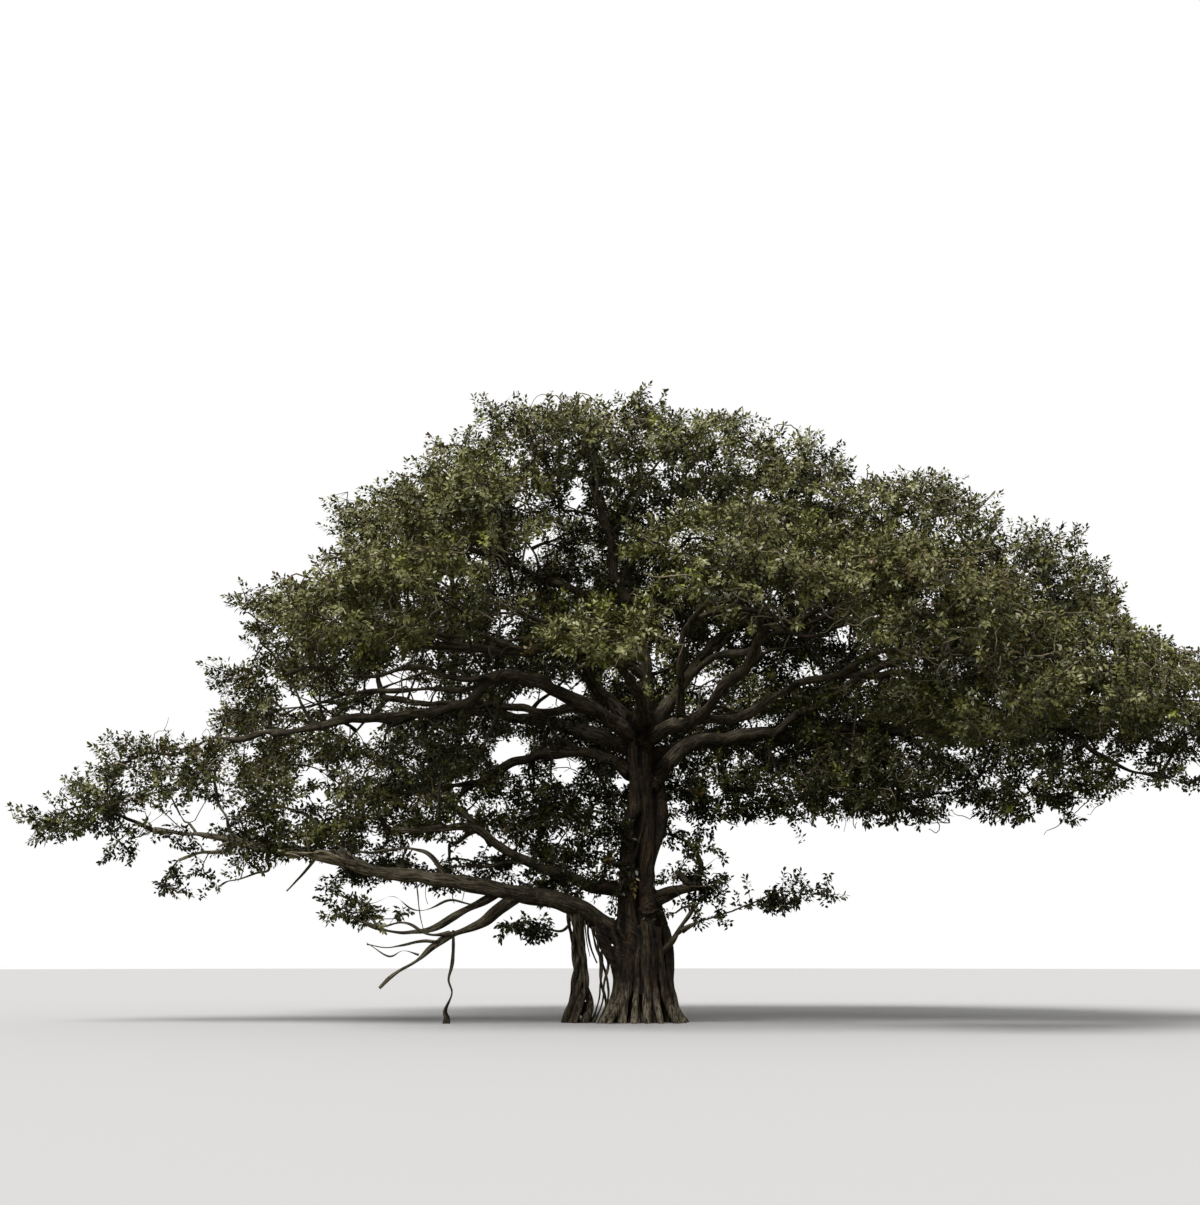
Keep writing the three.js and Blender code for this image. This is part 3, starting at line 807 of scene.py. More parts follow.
stems = [  # x, y, z and radius of the strands that show from the front
    [(-0.12, -0.10, 7.3, 0.15), (-0.11, -0.12, 6.3, 0.15), (-0.10, -0.13, 5.2, 0.15),
     (-0.26, -0.17, 4.6, 0.175), (-0.28, -0.20, 3.8, 0.18), (-0.27, -0.25, 3.1, 0.175),
     (-0.25, -0.33, 2.6, 0.165), (-0.22, -0.45, 2.0, 0.15), (-0.24, -0.53, 1.45, 0.135),
     (-0.31, -0.59, 0.75, 0.12), (-0.46, -0.70, 0.1, 0.12), (-0.55, -0.80, -0.3, 0.12)],
    [(0.20, -0.08, 7.3, 0.16), (0.18, -0.10, 6.3, 0.155), (0.19, -0.12, 5.2, 0.16),
     (0.22, -0.16, 4.6, 0.19), (0.18, -0.19, 3.8, 0.19), (0.17, -0.24, 3.1, 0.195),
     (0.18, -0.32, 2.6, 0.185), (0.19, -0.44, 2.0, 0.16), (0.13, -0.56, 1.45, 0.12),
     (0.14, -0.65, 0.75, 0.105), (0.14, -0.82, 0.1, 0.10), (0.14, -0.92, -0.3, 0.10)],
    [(0.16, -0.14, 3.3, 0.13), (0.34, -0.16, 4.0, 0.14), (0.51, -0.10, 4.5, 0.15), (0.56, 0.0, 5.0, 0.14),
     (0.44, 0.1, 5.55, 0.16)],
    [(-0.36, -0.26, 2.6, 0.08), (-0.44, -0.38, 2.0, 0.095), (-0.47, -0.44, 1.45, 0.11),
     (-0.51, -0.50, 0.75, 0.11), (-0.63, -0.58, 0.35, 0.11), (-0.90, -0.72, 0, 0.10),
     (-1.02, -0.8, -0.2, 0.10)],
    [(-0.35, -0.53, 1.5, 0.05), (-0.40, -0.60, 0.9, 0.07), (-0.54, -0.70, 0.4, 0.08),
     (-0.72, -0.86, 0.05, 0.08), (-0.85, -0.97, -0.25, 0.08)],
    [(-0.04, -0.46, 2.2, 0.035), (-0.06, -0.60, 1.3, 0.06), (-0.09, -0.70, 0.7, 0.075),
     (-0.17, -0.86, 0.1, 0.08), (-0.24, -0.98, -0.25, 0.08)],
    [(0.31, -0.50, 1.9, 0.055), (0.32, -0.58, 1.1, 0.075), (0.36, -0.66, 0.6, 0.085),
     (0.47, -0.80, 0.1, 0.085), (0.55, -0.92, -0.25, 0.085)],
    [(0.42, -0.36, 2.2, 0.08), (0.49, -0.46, 1.5, 0.095), (0.54, -0.52, 0.9, 0.10),
     (0.66, -0.61, 0.4, 0.095), (0.83, -0.75, 0.05, 0.09), (0.96, -0.86, -0.25, 0.09)],
    [(0.42, -0.12, 2.9, 0.08), (0.60, -0.20, 2.15, 0.105), (0.67, -0.24, 1.5, 0.115),
     (0.70, -0.28, 0.8, 0.11), (0.82, -0.36, 0.35, 0.10), (0.98, -0.46, 0.03, 0.09),
     (1.08, -0.5, -0.25, 0.09)],
    [(-1.06, -0.42, 2.44, 0.07), (-1.00, -0.50, 2.1, 0.075), (-0.88, -0.54, 1.8, 0.07),
     (-0.72, -0.52, 1.5, 0.07), (-0.62, -0.50, 1.15, 0.07), (-0.59, -0.48, 0.75, 0.08),
     (-0.72, -0.54, 0.3, 0.09), (-0.94, -0.62, -0.1, 0.09)],
    [(-0.88, -0.32, 2.42, 0.07), (-0.86, -0.42, 2.1, 0.075), (-0.72, -0.46, 1.8, 0.07),
     (-0.64, -0.42, 1.5, 0.075), (-0.56, -0.38, 1.0, 0.09), (-0.62, -0.40, 0.5, 0.10),
     (-0.80, -0.46, -0.2, 0.11)],
    [(-0.66, -0.26, 2.42, 0.08), (-0.66, -0.38, 2.1, 0.08), (-0.54, -0.46, 1.75, 0.075),
     (-0.52, -0.46, 1.3, 0.08), (-0.46, -0.48, 0.9, 0.07)],
    [(-0.46, -0.30, 2.5, 0.06), (-0.52, -0.44, 2.2, 0.05), (-0.40, -0.50, 1.85, 0.05),
     (-0.36, -0.54, 1.4, 0.05)],
    [(-0.06, -0.46, 2.62, 0.03), (0.10, -0.52, 2.5, 0.04), (0.28, -0.52, 2.52, 0.04),
     (0.44, -0.38, 2.62, 0.03)],
]
rings = np.array(trunkLook["rings"])


def onTrunk(bearing, z, out):
    # a place beside the trunk's middle line: bearing in radians, out as a share of its half width
    x, radius = (np.interp(z, rings[:, 0], rings[:, i]) for i in (1, 2))
    across = np.cos(bearing) * radius * out
    deep = np.sin(bearing) * radius * out * trunkLook["depthShare"]
    return np.column_stack([x + across, deep, z])


def climbing(look, number):
    # heights, bearings and taper of a strand that climbs from below the ground, swinging as it goes
    top = dice.uniform(*look["tops"])
    z = np.arange(trunkLook["heights"][0], top, look["step"])
    first, last = look["bearings"]
    bearing = first + (last - first) * (number + dice.uniform(*look["place"])) / look["count"]
    bearing = bearing + look["swing"] * np.sin(z * dice.uniform(*look["rate"]) + dice.uniform(0, 6))
    length, least, power = look["taper"]
    return z, bearing, np.clip((top - z) / length, least, 1) ** power


heights = np.arange(*trunkLook["heights"])
middle, width = (np.interp(heights, rings[:, 0], rings[:, i]) for i in (1, 2))
core = np.column_stack([middle, np.full(len(heights), trunkLook["core"]["back"]), heights])
strands = [(core, width * trunkLook["core"]["share"])]
for number, stem in enumerate(stems):
    stem = np.array(stem)
    line = lineThrough(stem[:, :3], limbLook["ring"])
    radius = lineThrough(np.column_stack([stem[:, 3], stem[:, 2], 0 * stem[:, 2]]), limbLook["ring"])
    order = np.argsort(radius[:, 1])
    radius = np.interp(line[:, 2], radius[order, 1], radius[order, 0])
    if number == len(stems) - 1:  # the last one lies level
        radius = np.full(len(line), stem[1, 3])
    line = line + wander(line, trunkLook["stray"], 200 + number * 3)
    strands.append((line, radius * (1 + uneven(line, trunkLook["lumps"], 240 + number))))
for number, (bearing, share, turn) in enumerate(columnLook["places"]):
    swing = math.radians(turn) * (heights - columnLook["turnHeight"]) / columnLook["turnHeight"]
    swing = swing + wave(heights, number, *columnLook["swing"])
    thick = share * np.interp(heights, *columnLook["narrow"])
    thick = thick * (1 + uneven(core + number * 3.1, columnLook["lumps"], 5))
    line = onTrunk(math.radians(bearing) + swing, heights, 1 - thick * columnLook["inset"])
    strands.append((line, thick * width))
for number in range(ridgeLook["count"]):
    z, bearing, taper = climbing(ridgeLook, number)
    radius = dice.uniform(*ridgeLook["size"]) * taper
    out = np.interp(z, *ridgeLook["out"]) - ridgeLook["tuck"] * (1 - taper)
    strands.append((onTrunk(bearing, z, out), radius))
for number in range(footLook["count"]):
    z, bearing, taper = climbing(footLook, number)
    flare = dice.uniform(*footLook["flare"]) * np.clip(1 - z / footLook["flareHeight"], 0, 1.4) ** 2
    radius = dice.uniform(*footLook["size"]) * taper * np.interp(z, *footLook["thick"])
    strands.append((onTrunk(bearing, z, footLook["out"] + flare - footLook["tuck"] * (1 - taper)), radius))
    if number % 2 == 0:  # a toe that forks off low down
        low = z[z < dice.uniform(*footLook["toeTops"])]
        own = len(low)
        split = bearing[:own] + footLook["toeTurn"] * np.clip(1 - low / low[-1], 0, 1.3)
        toe = onTrunk(split, low, footLook["toeOut"] + flare[:own])
        strands.append((toe, radius[:own] * footLook["toeSize"]))
for number in range(clingingLook["count"]):
    top = dice.uniform(*clingingLook["tops"])
    z = np.arange(clingingLook["low"], top, clingingLook["step"])
    start = dice.uniform(0, 2 * math.pi)
    swing = np.sin(z * dice.uniform(*clingingLook["rate"]) + dice.uniform(0, 6))
    bearing = start + clingingLook["swing"] * swing
    radius = np.full(len(z), dice.uniform(*clingingLook["size"])) * np.interp(top - z, *clingingLook["fade"])
    line = onTrunk(bearing, z, clingingLook["out"] + wave(z, number, *clingingLook["ripple"]))
    line[:, 1] *= np.where(line[:, 1] < 0, np.interp(z, *clingingLook["front"]), 1)
    strands.append((line, radius))
leaving = [n for n, s in limbs.items() if not s.get("follows") and "droop" not in n]
for name in leaving:
    line, radius = limbLines[name]
    reach = min(len(line) - 1, int(boughFootLook["reach"] / limbLook["ring"]))
    thinned = np.interp(np.arange(reach), (0, reach * 0.5, reach - 1), (1.0, 1.0, boughFootLook["thinned"]))
    inward = line[0] + (line[0] - line[1]) * np.array(boughFootLook["inward"])[:, None]
    foot = np.vstack([inward, line[:reach]])
    strands.append((foot, np.concatenate([[radius[0]] * len(inward), radius[:reach] * thinned])))
    for number in range(boughFootLook["roots"]):
        sweep = number * boughFootLook["apart"] + np.linspace(0, dice.uniform(*boughFootLook["sweep"]), reach)
        along = unit(np.gradient(line[:reach], axis=0))
        side = unit(np.cross(along, (0.2, 0.3, 0.93)))
        ring = side * np.cos(sweep)[:, None] + np.cross(along, side) * np.sin(sweep)[:, None]
        hug = line[:reach] + ring * (radius[:reach] * boughFootLook["out"])[:, None]
        strands.append((hug, np.linspace(*boughFootLook["size"], reach)))

grainReach = int(boughFootLook["grainReach"] / limbLook["ring"])
trunkLines = [(core, width)] + [(limbLines[n][0][:grainReach], limbLines[n][1]) for n in leaving]
trunkMesh = fused("trunk", strands, trunkLook["sides"], trunkLook["voxel"])
trunkRelief = dict(stretch=7.0, waves=[(0.07, 0.010), (0.13, 0.014)], lumps=(0.35, 0.018), wide=0.06)
trunkCo = barkRelief(trunkMesh, trunkLines, trunkRelief, 40)
wornAndLitLook = dict(top=1.15, share=0.52, patches=(0.42, 0.3), higher=(0.14, 0.8), less=0.05, most=0.8)
low = ease(wornAndLitLook["top"] - trunkCo[:, 2])  # worn pale roots low on the trunk, and painted light there, as the foot is lit from the side while the crown shades the trunk above
worn = low * (wornAndLitLook["share"] + uneven(trunkCo, wornAndLitLook["patches"], 51))
worn = worn + uneven(trunkCo, wornAndLitLook["higher"], 52) - wornAndLitLook["less"]
setAttribute(trunkMesh, "pale", np.clip(worn, 0, wornAndLitLook["most"]))
newPiece("fused_trunk", trunkMesh, [barkOf["trunk bark"]], ["trunk"])

# prop trunk and the two thinner props, each a few strands that wind round each other

props = {
    "prop_trunk": dict(
        path=[(-1.43, -0.2, -0.25), (-1.43, -0.24, 0.1), (-1.41, -0.28, 0.42), (-1.39, -0.3, 0.8),
              (-1.41, -0.37, 1.45), (-1.49, -0.42, 2.0), (-1.55, -0.48, 2.6)],
        radii=(0.36, 0.28, 0.19, 0.15, 0.135, 0.14, 0.18), strands=6, turns=0.4, thick=0.37, spread=0.80,
        extra=4, extraSize=0.034, voxel=0.017,
    ),
    "prop_root": dict(
        path=[(-1.085, -0.3, -0.2), (-0.87, -0.34, 0.47), (-0.87, -0.36, 0.89), (-0.86, -0.42, 1.35),
              (-0.96, -0.48, 1.72), (-1.07, -0.5, 2.2)],
        radii=(0.12, 0.09, 0.095, 0.09, 0.075, 0.07), strands=4, turns=0.7, thick=0.33, spread=1.05,
        extra=0, extraSize=0.03, voxel=0.013,
    ),
    "aerial_root": dict(
        path=[(-4.50, -0.9, -0.1), (-4.46, -0.9, 0.12), (-4.50, -0.9, 0.3), (-4.36, -0.9, 0.68),
              (-4.44, -0.9, 1.0), (-4.35, -0.9, 1.4), (-4.34, -0.95, 2.12)],
        radii=(0.075, 0.05, 0.034, 0.034, 0.034, 0.034, 0.038), strands=2, turns=0.7, thick=0.66, spread=0.6,
        extra=0, extraSize=0.03, voxel=0.012,
    ),
}
propLook = dict(
    step=0.05, sides=10,
    relief=dict(stretch=6.0, waves=[(0.05, 0.006), (0.12, 0.008)], lumps=(0.25, 0.008)),
    worn=0.26, patches=(0.22, 0.4),
    turning=(0.5, 7, 1), spreading=(0.25, 9, 2.3), swelling=(0.12, 13, 1),
    rootStart=1.7, rootTurning=(0.9, 4, 1), rootOut=(0.98, 0.12), rootSize=(1.2, -0.4),
)


def twisted(spec, seed):
    line = lineThrough(spec["path"], propLook["step"])
    t = np.linspace(0, 1, len(line))
    radius = np.interp(t, np.linspace(0, 1, len(spec["radii"])), spec["radii"])
    length = len(line) * propLook["step"]
    made = []
    for number in range(spec["strands"] + spec["extra"]):
        start = 2 * math.pi * number / spec["strands"] + seed
        if number < spec["strands"]:
            turned = 2 * math.pi * spec["turns"] * t * length / 2
            angle = start + turned + wave(t, number, *propLook["turning"])
            out = spec["spread"] * (1 + wave(t, number, *propLook["spreading"]))
            size = radius * spec["thick"] * (1 + wave(t, number, *propLook["swelling"]))
        else:  # a thin root on the outside
            angle = start * propLook["rootStart"] + wave(t, number, *propLook["rootTurning"])
            out = propLook["rootOut"][0] + propLook["rootOut"][1] * (1 - t) ** 2
            size = spec["extraSize"] * (propLook["rootSize"][0] + propLook["rootSize"][1] * t)
        place = line + np.column_stack([np.cos(angle), np.sin(angle), 0 * t]) * (radius * out)[:, None]
        made.append((place, size))
    return line, radius, made


for number, (name, spec) in enumerate(props.items()):
    line, radius, made = twisted(spec, number * 1.3)
    mesh = fused(name, made, propLook["sides"], spec["voxel"])
    propCo = barkRelief(mesh, [(line, radius)], propLook["relief"], 60 + number)
    worn = propLook["worn"] + uneven(propCo, propLook["patches"], 53 + number)
    setAttribute(mesh, "pale", np.clip(worn, 0, wornAndLitLook["most"]))
    newPiece("twisted_" + name, mesh, [barkOf["trunk bark"]], [name])

# boughs

boughRelief = dict(stretch=7.0, waves=[(0.07, 0.009), (0.16, 0.012)], lumps=(0.4, 0.028))
for title, isPale in (("boughs", False), ("pale_boughs", True)):
    names = [n for n, s in limbs.items() if s.get("pale", False) == isPale]
    extras = [n for n, s in sideBoughs.items() if s.get("pale", False) == isPale]
    mesh = tubes(title, [limbLines[n] for n in names + extras], limbLook["sides"])
    barkRelief(mesh, list(wholeLines.values()), boughRelief, 80)
    newPiece(title, mesh, [barkOf["bough bark"]], names)

# thin roots and dead stubs that hang from the boughs

hanging = [  # the points each passes through, and its radius at the top and at the tip
    ([(-1.20, -0.42, 2.45), (-1.22, -0.46, 2.05), (-1.14, -0.44, 1.66), (-1.0, -0.40, 1.35)], (0.035, 0.022)),
    ([(-1.32, -0.46, 2.50), (-1.28, -0.5, 2.1), (-1.22, -0.48, 1.75), (-1.17, -0.46, 1.5)], (0.026, 0.012)),
    ([(-5.25, -0.75, 3.3), (-5.14, -0.75, 2.56), (-5.04, -0.65, 2.06)], (0.022, 0.010)),
    ([(-5.0, -0.72, 3.3), (-5.02, -0.74, 2.95), (-4.95, -0.72, 2.7)], (0.016, 0.008)),
    ([(-4.37, -0.7, 3.2), (-4.40, -0.72, 2.95), (-4.34, -0.7, 2.72)], (0.016, 0.008)),
    ([(-4.1, -0.7, 3.15), (-4.13, -0.72, 2.9), (-4.18, -0.7, 2.75)], (0.014, 0.008)),
    ([(3.05, 1.25, 6.9), (3.26, 1.3, 6.44), (3.2, 1.3, 6.02), (3.25, 1.3, 5.52)], (0.030, 0.012)),
    ([(-7.6, -0.78, 3.78), (-7.85, -0.85, 3.45), (-8.25, -0.9, 3.0)], (0.050, 0.018)),
    ([(-1.62, -0.48, 2.28), (-1.85, -0.52, 2.10), (-2.2, -0.58, 2.14), (-2.5, -0.6, 2.2)], (0.045, 0.020)),
]
hangingLook = dict(
    step=0.06, sides=8, stray=0.02, strayLength=0.3,
    relief=dict(stretch=5.0, waves=[(0.05, 0.002)], lumps=(0.2, 0.003)),
)
hangingLines = []
for number, (path, (top, tip)) in enumerate(hanging):
    line = lineThrough(path, hangingLook["step"])
    t = np.linspace(0, 1, len(line))
    free = hangingLook["stray"] * t * (1 - t) * 4
    line = line + wander(line, (1, hangingLook["strayLength"]), 300 + number) * free[:, None]
    hangingLines.append((line, top + (tip - top) * t))
    limbLines["hanging_%d" % number] = hangingLines[-1]
mesh = tubes("hanging_roots", hangingLines, hangingLook["sides"])
barkRelief(mesh, hangingLines, hangingLook["relief"], 95)
newPiece("hanging_roots", mesh, [barkOf["bough bark"]])

# crown: places for clumps of leaves in the foliage masses, open where the sky shows

crownLook = dict(
    candidates=80000,
    spacing=0.5,
    valley=0.45,  # how far the dips between masses are filled
    around=1.0,  # a mass counts this far outside its box
    depths=(-0.6, 1.9, 0.75),  # where candidates lie under the skin, and at most this share of the way in
    shell=(0.30, 0.2),  # depth of the leaves under the outline, and thickness
    uneven=(0.26, 1.8),  # of the depth: how strong, and how wide
    layers=(1, 1, 2.8),  # the unevenness is flatter than it is wide
    openWidth=1.5,  # of the gaps between the layers
    openShare=0.5,  # lower for more of them
    leftOpen=0.22,  # how much lower on the left
    left=[(0, -1.0, -2.0), (2, 9.6, -1.5), (0, -11.5, 2.0)],  # where that is: fades along x, z and x
    innerDepth=0.95,
    innerShare=0.12,
    shared=(0.9, 0.1, 0.3),  # where this far outwards is still that deep in the crown, this share stays
    under=(-0.35, 0.75),  # a face that looks down more than this, and the share that stays there
    smallMass=0.95,  # masses whose half thickness is under this get smaller, closer clumps
    ragged=(0.6, 0.5, 0.05),  # those under this size are broken up, over this length and this much
    closest=0.72,  # least share of the spacing
    gapMargin=(0.2, 0.25),  # how far clumps keep from the sky, those in veils more
    leftEnd=-14.45,
    heart=(0.4, 0, 6.5),  # leaves in veils point away from here
)
veils = [  # leaves inside the crown: middle, half size, how many are tried, and True for more outline
    ((0.8, 3.6, 8.9), (4.6, 2.6, 2.6), 520),
    ((-4.2, 3.0, 6.6), (3.4, 2.4, 1.6), 160),
    ((8.0, 1.5, 7.6), (4.5, 2.5, 1.0), 200),
    ((10.8, 0.4, 6.9), (3.6, 1.6, 0.6), 160),
    ((-1.8, 1.6, 11.2), (3.0, 2.0, 1.8), 260),
    ((3.2, 1.2, 10.8), (2.4, 2.0, 1.4), 160),
    ((-1.5, 0.5, 4.4), (1.3, 1.2, 1.5), 150),
    ((-5.2, 0.9, 3.9), (2.0, 1.1, 0.55), 210),
    ((-4.4, 1.6, 12.0), (1.6, 1.6, 0.8), 90),
    ((-3.0, 0.6, 12.7), (1.1, 1.0, 0.5), 60),
    ((-8.2, -0.5, 4.3), (1.6, 1.2, 0.4), 60),
    ((-2.2, 1.6, 5.9), (0.9, 1.0, 0.4), 60),
    ((2.2, 1.2, 8.9), (0.6, 0.9, 0.8), 50),
    ((4.2, 1.2, 8.5), (0.9, 0.9, 0.5), 40),
    ((-1.5, -1.3, 8.3), (1.6, 0.8, 0.8), 40),
    ((1.9, -1.2, 8.0), (1.4, 0.8, 0.6), 30),
    ((-6.9, -0.3, 11.2), (0.4, 1.8, 0.6), 30, True),
    ((0.2, 0.2, 14.9), (0.5, 1.2, 0.2), 12, True),
    ((9.4, -0.2, 11.1), (0.9, 1.8, 0.4), 40, True),
    ((10.8, -0.2, 10.4), (0.6, 1.6, 0.4), 30, True),
    ((-11.6, -0.4, 6.3), (1.0, 1.0, 0.25), 30, True),
    ((0.9, 0.9, 4.9), (0.9, 0.9, 0.9), 30),
    ((-9.2, -0.8, 8.9), (0.35, 1.2, 0.5), 24, True),
    ((-0.95, 0.7, 5.4), (0.5, 0.7, 0.8), 60),
    ((-9.0, -0.8, 9.6), (0.35, 1.4, 0.4), 24, True),
    ((-9.6, -0.6, 8.1), (0.35, 1.2, 0.4), 24, True),
    ((-7.0, -0.3, 12.0), (0.3, 1.4, 0.4), 16, True),
    ((-3.2, 0.2, 8.6), (1.6, 1.6, 1.4), 80),
    ((4.0, 0.3, 13.6), (0.9, 1.2, 0.5), 50),
]
crownRegions = {
    "leaves_top": ["top_left", "top_centre", "top_right", "shoulder_right"],
    "leaves_dome": ["dome_right", "dome_right_outer", "right_core", "right_middle"],
    "leaves_right": [
        "right_edge", "far_right", "right_under", "right_low", "stub_mass_right", "stub_tuft_right",
    ],
    "leaves_front_right": ["front_right_high", "front_right_outer", "front_right_low", "front_right_edge"],
    "leaves_left_high": ["shoulder_left", "left_bulge", "left_middle", "left_mid"],
    "leaves_left_low": ["left_outer", "left_tip", "left_low", "left_low_inner", "left_core", "droop_tuft"],
    "leaves_front": ["front_centre", "front_left_high", "front_left"],
    "leaves_back_left": ["back_left_high", "back_left", "back_left_low"],
    "leaves_back": ["back_centre_high", "back_centre_low"],
    "leaves_back_right": ["back_right_high", "back_right_outer", "back_right_low"],
}
skyGaps = [  # x, z, half width and half height where the crown is open, seen from the front
    (-5.55, 7.8, 0.6, 0.16), (-6.2, 7.98, 0.6, 0.1), (-6.7, 7.02, 0.38, 0.26), (-3.09, 6.34, 0.36, 0.3),
    (-3.93, 4.13, 0.45, 0.22), (-1.53, 12.68, 0.13, 0.1), (-8.1, 7.62, 0.5, 0.14), (-2.81, 12.6, 0.3, 0.12),
    (1.05, 11.59, 0.12, 0.16), (-3.21, 9.64, 0.1, 0.3), (-4.56, 10.62, 0.2, 0.08),
    (-5.68, 10.2, 0.12, 0.12), (4.14, 8.4, 0.42, 0.09), (4.97, 9.19, 0.13, 0.09), (2.85, 7.03, 0.2, 0.1),
    (-1.66, 7.93, 0.25, 0.16), (-2.14, 7.67, 0.25, 0.2), (-2.91, 7.5, 0.3, 0.2), (-1.85, 6.02, 0.35, 0.1),
    (0.36, 8.68, 0.1, 0.3), (1.6, 8.2, 0.2, 0.16), (-4.0, 11.27, 0.1, 0.16), (-2.62, 11.37, 0.14, 0.1),
    (-10.7, 4.8, 0.6, 0.22), (-5.0, 4.0, 0.5, 0.15),
]
outlineCuts = [  # the same, at the crown's edge, where no branch grows either
    (13.6, 10.3, 1.2, 0.95), (12.6, 11.0, 0.9, 0.7), (12.7, 9.95, 0.7, 0.4), (13.6, 9.5, 0.8, 0.5),
    (1.85, 15.55, 0.95, 0.55), (-9.75, 8.8, 0.4, 0.22),
]
thinPlaces = [  # the same, the share of the sprays that are left out, and how far back this goes
    (-7.7, 7.6, 2.0, 0.7, 0.4, 20), (-11.1, 4.5, 0.8, 0.7, 0.6, 20), (-5.0, 7.6, 1.3, 0.5, 0.4, 20),
    (-2.2, 7.6, 0.8, 0.4, 0.6, 20), (-4.5, 8.7, 0.8, 0.45, 0.4, 20), (-13.0, 6.3, 0.7, 0.3, 0.4, 20),
    (-4.5, 5.1, 0.8, 0.7, 0.5, 20), (-10.5, 4.1, 1.1, 0.7, 0.6, 20),
    (3.0, 9.5, 2.2, 0.95, 0.88, -1.0), (7.3, 8.6, 2.2, 0.5, 0.75, -2.0), (0.2, 7.9, 1.6, 0.7, 0.6, -0.5),
    (-4.8, 9.6, 1.6, 0.6, 0.7, -1.5), (-2.6, 11.2, 1.5, 0.8, 0.7, -0.5),
]
looseClumps = [  # small tufts away from the masses: the mass whose leaves they join, and places
    ("left_core", [
        (-2.85, -0.6, 2.3), (-2.6, -0.5, 2.05), (-2.4, -0.65, 2.3), (-2.3, -0.6, 2.0), (-3.0, -0.55, 2.1),
    ]),
    ("right_core", [
        (1.25, -0.4, 3.7), (1.45, -0.4, 4.05), (0.75, -0.45, 3.4), (1.95, -0.5, 3.3), (2.35, -0.5, 2.9),
        (0.95, -0.55, 2.6),
    ]),
    ("left_core", [
        (-6.95, -1.2, 2.65), (-6.5, -0.9, 2.8), (-7.2, -0.8, 3.0), (-5.6, -1.3, 2.35), (-7.0, -0.6, 2.35),
    ]),
    ("right_core", [
        (4.3, -0.6, 3.05), (1.6, -0.6, 2.55), (0.6, -0.5, 2.5),
    ]),
    ("right_edge", [
        (11.0, -0.6, 6.1), (11.6, -0.7, 5.85), (12.2, -0.9, 5.7), (12.9, -1.0, 5.45), (12.6, -0.7, 5.9),
        (10.5, -0.4, 6.0),
    ]),
    ("left_tip", [
        (-12.3, -0.6, 3.95), (-10.6, -0.5, 3.55), (-10.2, -0.5, 3.3), (-10.9, -0.4, 3.35),
        (-11.1, -0.4, 3.1), (-9.6, -0.6, 3.8), (-9.3, -0.65, 3.6),
    ]),
]


def seenFromFront(points):
    # where each point shows on the upright plane through the trunk
    eye = np.array(view["eye"])
    return eye + (points - eye) * ((0 - eye[1]) / (points[:, 1] - eye[1]))[:, None]


def oval(points, x, z, halfWidth, halfHeight):
    # under 1 inside the oval, seen along y
    return ((points[:, 0] - x) / halfWidth) ** 2 + ((points[:, 2] - z) / halfHeight) ** 2


def inSkyGap(points, margin, gaps=skyGaps + outlineCuts):
    seen = seenFromFront(points)
    hit = np.zeros(len(points), bool)
    for x, z, halfWidth, halfHeight in gaps:
        hit |= oval(seen, x, z, halfWidth + margin, halfHeight + margin) < 1
    return hit


def thinnedOut(points):
    # True for the sprays that stay
    seen = seenFromFront(points)
    leftOut = np.zeros(len(points))
    for x, z, halfWidth, halfHeight, share, back in thinPlaces:
        here = (oval(seen, x, z, halfWidth, halfHeight) < 1) & (points[:, 1] < back)
        leftOut = np.maximum(leftOut, share * here)
    return dice.random(len(points)) >= leftOut


masses = {}
for name in itertools.chain(*crownRegions.values()):
    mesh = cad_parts[name].data
    co = vectorsOf(mesh.vertices, "co")
    mesh.calc_loop_triangles()
    corners = np.array([t.vertices[:] for t in mesh.loop_triangles])
    a, b, c = (co[corners[:, i]] for i in range(3))
    face = np.cross(b - a, c - a)
    area = np.linalg.norm(face, axis=1) / 2
    low, high = co.min(0), co.max(0)
    masses[name] = dict(
        co=co, corners=corners, area=area, facing=unit(face), low=low, high=high,
        centre=((a + b + c) / 3 * area[:, None]).sum(0) / area.sum(),
        shape=BVHTree.FromPolygons([tuple(p) for p in co], corners.tolist()),
        scale=min(1.0, (high - low).min() / 2 / crownLook["smallMass"]),
    )


def crownDepth(points):
    # how deep each point lies in the crown, with the dips between the masses filled
    total = np.zeros(len(points))
    reach = crownLook["around"]
    for mass in masses.values():
        near = np.all((points > mass["low"] - reach) & (points < mass["high"] + reach), axis=1)
        for i in np.flatnonzero(near):
            place, facing, index, away = mass["shape"].find_nearest(Vector(points[i]))
            inward = -(Vector(points[i]) - place).dot(facing)
            total[i] += math.exp(math.copysign(away, inward) / crownLook["valley"])
    return crownLook["valley"] * np.log(np.maximum(total, 1e-6))


# side boughs: winding limbs that leave the boughs every so often

offshootLook = dict(
    every=0.95, apart=(0.7, 1.4), first=0.30, last=0.5,  # metres, and a share for the first
    length=(1.8, 4.2), step=0.4, shortest=3,
    turn=(20, 56), level=0.5, rise=(-0.15, 0.32), lowRise=0.35, stray=0.36,
    thick=0.58, widest=0.08, tip=0.018, sides=8,
    outside=0.1, gapMargin=0.1,
    relief=dict(stretch=7.0, waves=[(0.07, 0.004)], lumps=(0.3, 0.010)),
)


def outOfCrown(point):
    # beyond the outline, with no leaves over it
    if crownDepth(point[None])[0] > -offshootLook["outside"]:
        return False
    return not any(mass["shape"].ray_cast(Vector(point), Vector((0, 0, 1)))[0] for mass in masses.values())


